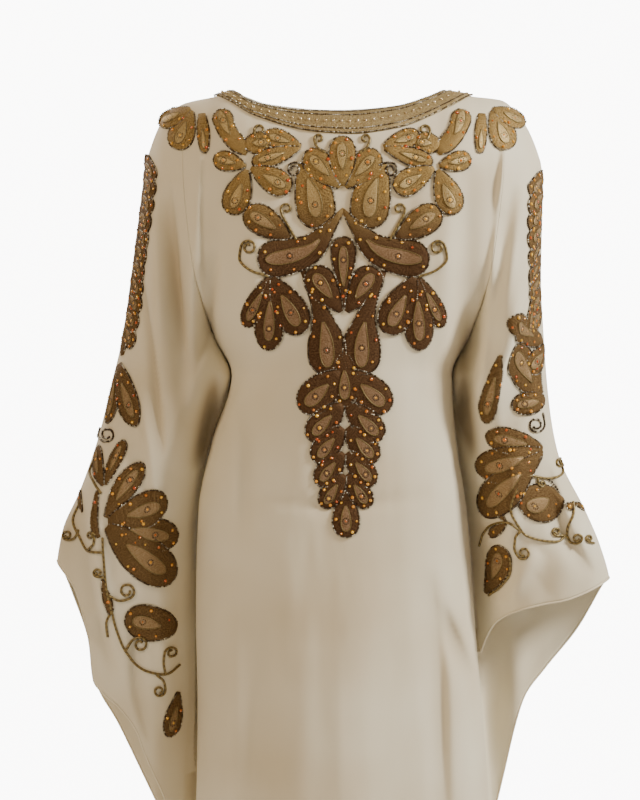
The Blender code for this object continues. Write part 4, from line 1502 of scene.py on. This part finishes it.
    def vine(self, vine: Vine, hand: int = 1, radius: float = 1.5) -> None:
        """A cord or a string of beads laid on the cloth, with flat places reflected where hand is -1."""
        flat = self.skin.flat(vine.line()) * np.array([hand, 1])
        length = float(np.linalg.norm(np.diff(flat, axis=0), axis=1).sum())
        line = trace(flat, np.linspace(0, 1, max(8, int(length / 2))))
        if vine.beaded:
            self.string(line, self.vine_bead_lift, self.vine_bead_pitch, self.vine_bead_radius)
            return
        path, up = self.skin.lay(line, np.full(len(line), radius * 0.8))
        self.cords.add_cord(path, up, radius, 7, False, 1.0)

    def strip(self, top: float, low: float, pitch: float = 20.0) -> None:
        """A rope of slanting petals down a sleeve's overarm seam, as many on its back as on its front."""
        wearer = self.skin.wearer
        steps = np.array([(1.0, 4.0), (7.0, -8.0), (15.0, -24.0)])
        for k, z in enumerate(np.arange(top, low, -pitch)):
            height = z + steps[:, 1]
            seen = np.stack([SLEEVES[wearer].at("outer", height) - wearer.value * steps[:, 0], height], -1)
            for hand in (1, -1):
                spine = self.skin.flat(seen) * np.array([hand, 1])
                self.leaf(Leaf(spine, 24, widths=(8, 24, 20), drop=(0.35, 0.85)), 0.4 * (k % 2))

    def build(self) -> None:
        """Makes the region's pieces."""
        made = (
            ("petals", self.fills, PETAL, "dark_bronze_embroidery"),
            ("teardrops", self.drops, TEARDROP, "antique_gold_embroidery"),
            ("bead_rims", self.rims, RIM_BEADS, "dark_bronze_embroidery"),
            ("stones", self.stones, STONES, "antique_gold_embroidery"),
            ("cords", self.cords, CORD, "antique_gold_embroidery"),
        )
        for word, assembly, finish, slot in made:
            if not assembly.count:
                continue
            piece = assembly.build(f"{self.name}_{word}", finish)
            if word == "petals":
                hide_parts(*self.nodes)
            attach(piece, "root")
            log.info("%s: %d points", piece.name, assembly.count)


def yoke_place(sign: int, out: float, z: float) -> tuple[float, float]:
    """A place of the yoke from its distance out of the middle line, which leans a little to the wearer's left."""
    middle, lean = 4.0, 0.01
    return middle - lean * z + sign * out, z


def yoke_motif(name: str, sign: int, root: tuple, petals: tuple, blades: tuple) -> Motif:
    """A motif on one half of the yoke: distances out become places as seen."""
    turned = tuple(Petal(*yoke_place(sign, p.x, p.z), p.width, p.slim) for p in petals)
    bent = tuple(Blade(tuple((*yoke_place(sign, x, z), w) for x, z, w in b.places), b.drop) for b in blades)
    return Motif(name, yoke_place(sign, *root), turned, bent)


def mirrored(name: str, root: tuple, petals: tuple, blades: tuple = ()) -> list[Motif]:
    """One motif on each half of the yoke."""
    halves = (("right", -1), ("left", 1))
    return [yoke_motif(name and f"{name}_{word}", sign, root, petals, blades) for word, sign in halves]


def mirrored_vine(places: tuple, curl: float = 0.0, turns: float = 1.25, beaded: bool = False) -> list[Vine]:
    """One vine on each half of the yoke, the curl turned the other way on the wearer's right."""
    return [Vine(tuple(yoke_place(sign, *p) for p in places), sign * curl, turns, beaded) for sign in (-1, 1)]


def centred(name: str, root: tuple, petals: tuple, blades: tuple = ()) -> Motif:
    """A motif on the yoke's middle line."""
    return yoke_motif(name, 1, root, petals, blades)


# Yoke motifs: each root's distance out from the middle line and its height, then its petals' tips and widths.
YOKE = (
    *mirrored(
        "applique_shoulder", (178, -14), (Petal(200, -63, 31), Petal(219, -33, 22)),
        (Blade(((168, -20, 9), (166, -44, 15), (165, -68, 9))),),
    ),
    *mirrored(
        "applique_scroll_leaf", (119, -58), (Petal(86, -55, 27, 0.7),),
        (Blade(((112, -66, 12), (126, -56, 21), (138, -40, 22), (146, -16, 28)), (0.45, 0.95)),),
    ),
    *mirrored("applique_bud", (46, -61), (Petal(93, -46, 24), Petal(108, -80, 22))),
    *mirrored("applique_cluster", (113, -84), (Petal(154, -74, 24), Petal(134, -141, 33), Petal(62, -112, 32))),
    *mirrored(
        "applique_paisley_high", (47, -84), (),
        (Blade(((46, -78, 14), (42, -96, 30), (34, -122, 47), (30, -158, 47)), (0.22, 0.84)),),
    ),
    *mirrored("applique_leaf", (60, -172), (Petal(117, -136, 36),)),
    *mirrored(
        "applique_wing", (3, -134), (),
        (Blade(((-2, -133, 3), (14, -154, 14), (42, -184, 36), (72, -193, 44), (103, -197, 46)), (0.34, 0.93)),),
    ),
    *mirrored(
        "applique_hanging_fan", (88, -212), (Petal(118, -276, 24), Petal(90, -304, 35), Petal(50, -284, 41))
    ),
    *mirrored(
        "applique_paisley_low", (52, -208), (),
        (
            Blade(
                ((50, -206, 6), (41, -226, 10), (32, -248, 15), (25, -270, 27), (21, -298, 45), (20, -334, 46)),
                (0.5, 0.93),
            ),
        ),
    ),
    centred("applique_heart", (0, -112), (Petal(43, -66, 34), Petal(-43, -66, 34), Petal(0, -48, 33))),
    centred(
        "applique_crown", (0, -262),
        (Petal(40, -206, 38, 1.1), Petal(-40, -206, 38, 1.1), Petal(0, -168, 31, 1.9)),
    ),
    centred("", (0, -304), (Petal(0, -372, 34, 0.8),)),
    centred("applique_chain_1", (0, -328), (Petal(53, -376, 42, 0.8), Petal(-53, -376, 42, 0.8))),
    centred("applique_chain_2", (0, -366), (Petal(44, -411, 34, 0.8), Petal(-44, -411, 34, 0.8))),
    centred("applique_chain_3", (0, -394), (Petal(37, -438, 33, 0.8), Petal(-37, -438, 33, 0.8))),
    centred("applique_chain_4", (0, -424), (Petal(34, -466, 30, 0.8), Petal(-34, -466, 30, 0.8))),
    centred("applique_chain_5", (0, -450), (Petal(28, -493, 27, 0.8), Petal(-28, -493, 27, 0.8))),
    centred("applique_drop", (0, -470), (Petal(0, -529, 33),)),
)
YOKE_VINES = (
    *mirrored_vine(((90, -216), (112, -208), (124, -194), (122, -180)), 9, 1.3),
    *mirrored_vine(((56, -172), (66, -154), (74, -138)), 7, 1.0),
    *mirrored_vine(((90, -62), (100, -54), (105, -44)), 7, 0.9),
    *mirrored_vine(((20, -68), (29, -62), (33, -54)), 6, 0.9),
    *mirrored_vine(((44, -82), (55, -79)), -9, 1.3, True),
)

SLEEVE_RIGHT = (
    Motif(
        "applique_sleeve_right_high applique_back_right_high", (-262, -316),
        (Petal(-276, -392, 31, 0.8), Petal(-240, -394, 31, 0.8)),
        (Blade(((-272, -312, 10), (-256, -290, 24), (-246, -256, 22))),),
    ),
    Motif("", (-280, -470), (Petal(-258, -412, 18), Petal(-288, -420, 18))),
    Motif(
        "applique_sleeve_right_fan applique_back_right_fan", (-282, -510),
        (Petal(-235, -439, 31), Petal(-206, -488, 46), Petal(-199, -580, 50), Petal(-195, -532, 38)),
    ),
    Motif("applique_sleeve_right_eye applique_back_right_eye", (-193, -640), (Petal(-256, -625, 43, 0.8),)),
    Motif("applique_sleeve_right_cuff", (-194, -712), (Petal(-204, -770, 20),)),
    Motif("", (-284, -576), (Petal(-273, -622, 10),)),
    Motif("", (-306, -500), (Petal(-313, -472, 9),)),
    Motif("", (-287, -530), (), (Blade(((-287, -530, 4), (-293, -512, 10), (-289, -473, 5))),)),
)
VINES_RIGHT = (
    Vine(((-308, -484), (-317, -504), (-310, -528), (-300, -545), (-283, -547))),
    Vine(((-311, -520), (-316, -530), (-323, -532)), -6),
    Vine(((-300, -545), (-293, -536), (-292, -527)), 4.5),
    Vine(((-286, -398), (-287, -404)), 10, 1.4, True),
    Vine(((-288, -432), (-297, -446), (-293, -462), (-284, -476))),
    Vine(
        ((-283, -529), (-281, -565), (-278, -595), (-270, -626), (-263, -649), (-250, -674), (-228, -690),
         (-208, -694), (-193, -684)),
    ),
    Vine(((-281, -577), (-289, -576)), -5),
    Vine(((-276, -598), (-262, -605), (-252, -603)), 10),
    Vine(((-272, -616), (-278, -632), (-276, -648))),
    Vine(((-256, -666), (-250, -655), (-243, -650)), -9),
    Vine(((-208, -694), (-210, -680), (-209, -668)), -7),
    Vine(((-218, -694), (-210, -702), (-208, -712)), -7),
)
SLEEVE_LEFT = (
    Motif("applique_sleeve_left_strip", (232, -240), (Petal(226, -290, 20),)),
    Motif(
        "applique_sleeve_left_high applique_back_left_high", (246, -296),
        (Petal(203, -270, 33, 0.8), Petal(226, -330, 26)),
    ),
    Motif(
        "applique_sleeve_left_mid", (248, -362), (Petal(208, -372, 26, 0.8),),
        (Blade(((244, -366, 12), (236, -350, 30), (224, -330, 46), (210, -302, 40)), (0.3, 0.9)),),
    ),
    Motif("applique_sleeve_left_slip", (197, -304), (Petal(179, -392, 22),)),
    Motif(
        "applique_sleeve_left_fan applique_back_left_fan", (248, -422),
        (Petal(178, -408, 31), Petal(171, -452, 38), Petal(176, -502, 34)),
    ),
    Motif("applique_sleeve_left_eye applique_back_left_eye", (268, -474), (Petal(220, -498, 42, 0.7),)),
    Motif("applique_sleeve_left_loop", (179, -602), (Petal(198, -540, 30),)),
    Motif("", (203, -511), (Petal(187, -493, 11), Petal(184, -528, 11))),
    Motif("", (281, -488), (Petal(294, -494, 8), Petal(274, -494, 8))),
)
VINES_LEFT = (
    Vine(
        ((274, -526), (262, -534), (247, -533), (222, -524), (209, -504), (212, -476), (229, -455), (251, -458),
         (269, -450), (272, -442)),
        6.5,
    ),
    Vine(((245, -380), (247, -392)), -10, 1.4, True),
    Vine(((239, -457), (240, -465)), 4),
    Vine(((251, -459), (258, -464), (265, -474)), 0, 1, True),
    Vine(((270, -527), (261, -527)), -5),
    Vine(((274, -526), (276, -516), (282, -498), (281, -486))),
    Vine(((274, -527), (278, -535), (286, -536)), 6),
    Vine(((306, -536), (299, -534)), -4),
    Vine(((218, -521), (212, -530), (211, -542), (215, -551)), 8),
    Vine(((174, -541), (177, -528), (186, -515), (202, -511), (218, -521))),
    Vine(((206, -552), (207, -570), (197, -588), (184, -600))),
)


@dataclass(frozen=True)
class NeckBand:
    """The beaded braid round the neckline, front or back."""

    side: Side
    stations: int = 120
    height: float = 1.2
    lift: float = 0.4

    def build(self) -> None:
        """Makes the braid, its four bead strings and its row of pale beads."""
        share = np.linspace(0.002, 0.998, self.stations + 1)
        neck, edge = trace(NECKLINES[self.side], share), trace(BAND_EDGES[self.side], share)
        t = np.linspace(0.0, 1.0, 9)
        grid = neck[None] + (edge - neck)[None] * t[:, None, None]
        bow = rounded((2 * t - 1) ** 4)
        points, facing = DRAPE.surface(grid[..., 0], grid[..., 1], self.side)
        top = points + (self.lift + 0.3 + self.height * bow)[:, None, None] * facing
        low = points + 0.1 * facing
        far = run_along(neck)
        pattern = np.stack(np.broadcast_arrays(far[None], 24 * t[:, None]), -1)
        braid = Assembly()
        corners, pattern, quads = walled(top, low, pattern, facing[4, self.stations // 2])
        braid.add(corners, pattern, 0.0, quads)
        word = self.side.name.lower()
        piece = braid.build(f"neck_braid_{word}", BRAID)
        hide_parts(f"neck_band_{word}")
        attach(piece, "root")
        self.string(neck, edge, (0.03, 0.22, 0.8, 0.97), 2.3, 1.1, RIM_BEADS, f"neck_bead_strings_{word}")
        self.string(neck, edge, (0.5,), 9.0, 1.9, PALE_BEADS, f"neck_pale_beads_{word}")

    def string(
        self, neck: Array, edge: Array, rows: tuple, pitch: float, radius: float, finish: Finish, name: str
    ) -> None:
        """Rows of beads along the band, at shares of its width."""
        beads = Assembly()
        draws = np.random.default_rng(11)
        for t in rows:
            line = neck + (edge - neck) * t
            far = run_along(line)
            where = np.linspace(0, far[-1], int(far[-1] / pitch))
            x, z = np.interp(where, far, line[:, 0]), np.interp(where, far, line[:, 1])
            points, facing = DRAPE.surface(x, z, self.side)
            bow = rounded((2 * t - 1) ** 4)
            centres = points + (self.lift + 0.5 + self.height * bow) * facing
            # Each bead's tint, drawn at random, is a painted shine.
            painted_shine = draws.uniform(0, 1, len(x)) ** 2
            beads.add_beads(centres, radius * draws.uniform(0.9, 1.1, len(x)), facing, painted_shine)
        piece = beads.build(name, finish)
        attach(piece, "root")


# Studio


# Each lamp's name, place and aim in metres, power in watts, size in metres, and colour.
LAMPS = (
    ("key_from_the_right", (2.1, -0.7, 0.95), (0.05, 0, -0.3), 86, 0.5, "#FFFBF4"),
    ("fill_from_the_left", (-1.7, -1.85, 1.3), (0, 0, -0.2), 35, 0.7, "#FFE4C2"),
    ("back_rim", (-1.5, 1.7, 1.2), (0, 0, -0.4), 30, 0.9, "#FFF6EA"),
)


@dataclass(frozen=True)
class Studio:
    """A pale floor that curves up into a backdrop, soft lights, and the camera at the photograph's angle."""

    floor_z: float = -1.432
    half_width: float = 6.0
    curve_from: float = 2.4
    curve: float = 0.6
    wall_top: float = 5.0
    lit_place: float = 2.3
    lit_half_width: float = 3.4
    lit_top: float = 2.6
    air_color: str = "#FFE8C6"
    air_strength: float = 0.28
    camera: tuple[float, float, float] = (-0.022, -2.4, -0.364)
    lens: float = 60.0
    sensor: float = 24.0

    def sweep(self) -> None:
        """Floor and wall in one sheet: flat, a quarter round, then upright, with a lit backdrop before the wall."""
        angle = np.linspace(0, np.pi / 2, 24)
        round_y, round_z = self.curve * np.sin(angle), self.curve - self.curve * np.cos(angle)
        y = np.concatenate([[-self.half_width], self.curve_from + round_y, [self.curve_from + self.curve]])
        z = np.concatenate([[0.0], round_z, [self.wall_top]]) + self.floor_z
        x = np.array([-self.half_width, self.half_width])
        points = np.stack(np.broadcast_arrays(x[None], y[:, None], z[:, None]), -1)
        made = Assembly()
        made.add(points / MM, points[..., :2], 0.0, grid_quads(len(y), 2))
        made.build("studio_sweep", STAGE)
        lit = Assembly()
        x, z = np.meshgrid([-self.lit_half_width, self.lit_half_width], [self.floor_z + 0.02, self.lit_top])
        corners = np.stack([x, np.full(x.shape, self.lit_place), z], -1)
        lit.add(corners / MM, np.stack([x, z], -1), 0.0, grid_quads(2, 2))
        lit.build("studio_backdrop", BACKDROP)

    def light(self, name: str, place: tuple, aim: tuple, power: float, size: float, color: str) -> None:
        """One soft square lamp, aimed at a place."""
        lamp = bpy.data.lights.new(name, "AREA")
        lamp.energy, lamp.size, lamp.color = power, size, linear(color)[:3]
        made = bpy.data.objects.new(name, lamp)
        made.location = place
        made.rotation_mode = "QUATERNION"
        made.rotation_quaternion = (Vector(aim) - Vector(place)).to_track_quat("-Z", "Y")
        bpy.context.scene.collection.objects.link(made)

    def build(self) -> None:
        """Makes it all."""
        self.sweep()
        for lamp in LAMPS:
            self.light(*lamp)
        world = bpy.data.worlds.new("studio_air")
        world.use_nodes = True
        air = world.node_tree.nodes["Background"]
        air.inputs["Color"].default_value = linear(self.air_color)
        air.inputs["Strength"].default_value = self.air_strength
        bpy.context.scene.world = world
        lens = bpy.data.cameras.new("photo_camera")
        lens.sensor_fit, lens.sensor_height, lens.lens = "VERTICAL", self.sensor, self.lens
        made = bpy.data.objects.new("photo_camera", lens)
        made.location = self.camera
        made.rotation_euler = (math.pi / 2, 0, 0)
        bpy.context.scene.collection.objects.link(made)
        bpy.context.scene.camera = made


PANELS = (
    BodyPanel("front", Side.FRONT, 120, 44, 140, (620, 1420)),
    BodyPanel("back", Side.BACK, 96, 44, 110, (600, 1420)),
    SleevePanel("sleeve_right_front", Side.FRONT, 84, 60, 84, (160, 860), wearer=Wearer.RIGHT),
    SleevePanel("sleeve_right_back", Side.BACK, 50, 50, 60, (150, 860), wearer=Wearer.RIGHT),
    SleevePanel("sleeve_left_front", Side.FRONT, 84, 60, 70, (170, 640), wearer=Wearer.LEFT),
    SleevePanel("sleeve_left_back", Side.BACK, 50, 50, 60, (160, 820), wearer=Wearer.LEFT),
)


def main() -> None:
    """Builds each part in order."""
    logging.basicConfig(level=logging.INFO, format="%(message)s")
    for panel in PANELS:
        panel.build()
    yoke = Needlework("yoke", YokeSkin())
    for motif in YOKE:
        yoke.motif(motif)
    for vine in YOKE_VINES:
        yoke.vine(vine)
    yoke.build()
    for name, wearer, motifs, vines, strip in (
        ("sleeve_right", Wearer.RIGHT, SLEEVE_RIGHT, VINES_RIGHT, (-76, -282)),
        ("sleeve_left", Wearer.LEFT, SLEEVE_LEFT, VINES_LEFT, (-96, -262)),
    ):
        work = Needlework(name, SleeveSkin(wearer), tint_low=0.72, tint_high=0.72)
        work.strip(*strip)
        for hand in (1, -1):
            for motif in motifs:
                work.motif(motif, hand)
            for vine in vines:
                work.vine(vine, hand)
        work.build()
    for side in Side:
        NeckBand(side).build()
    Studio().build()


if __name__ == "__main__":
    main()
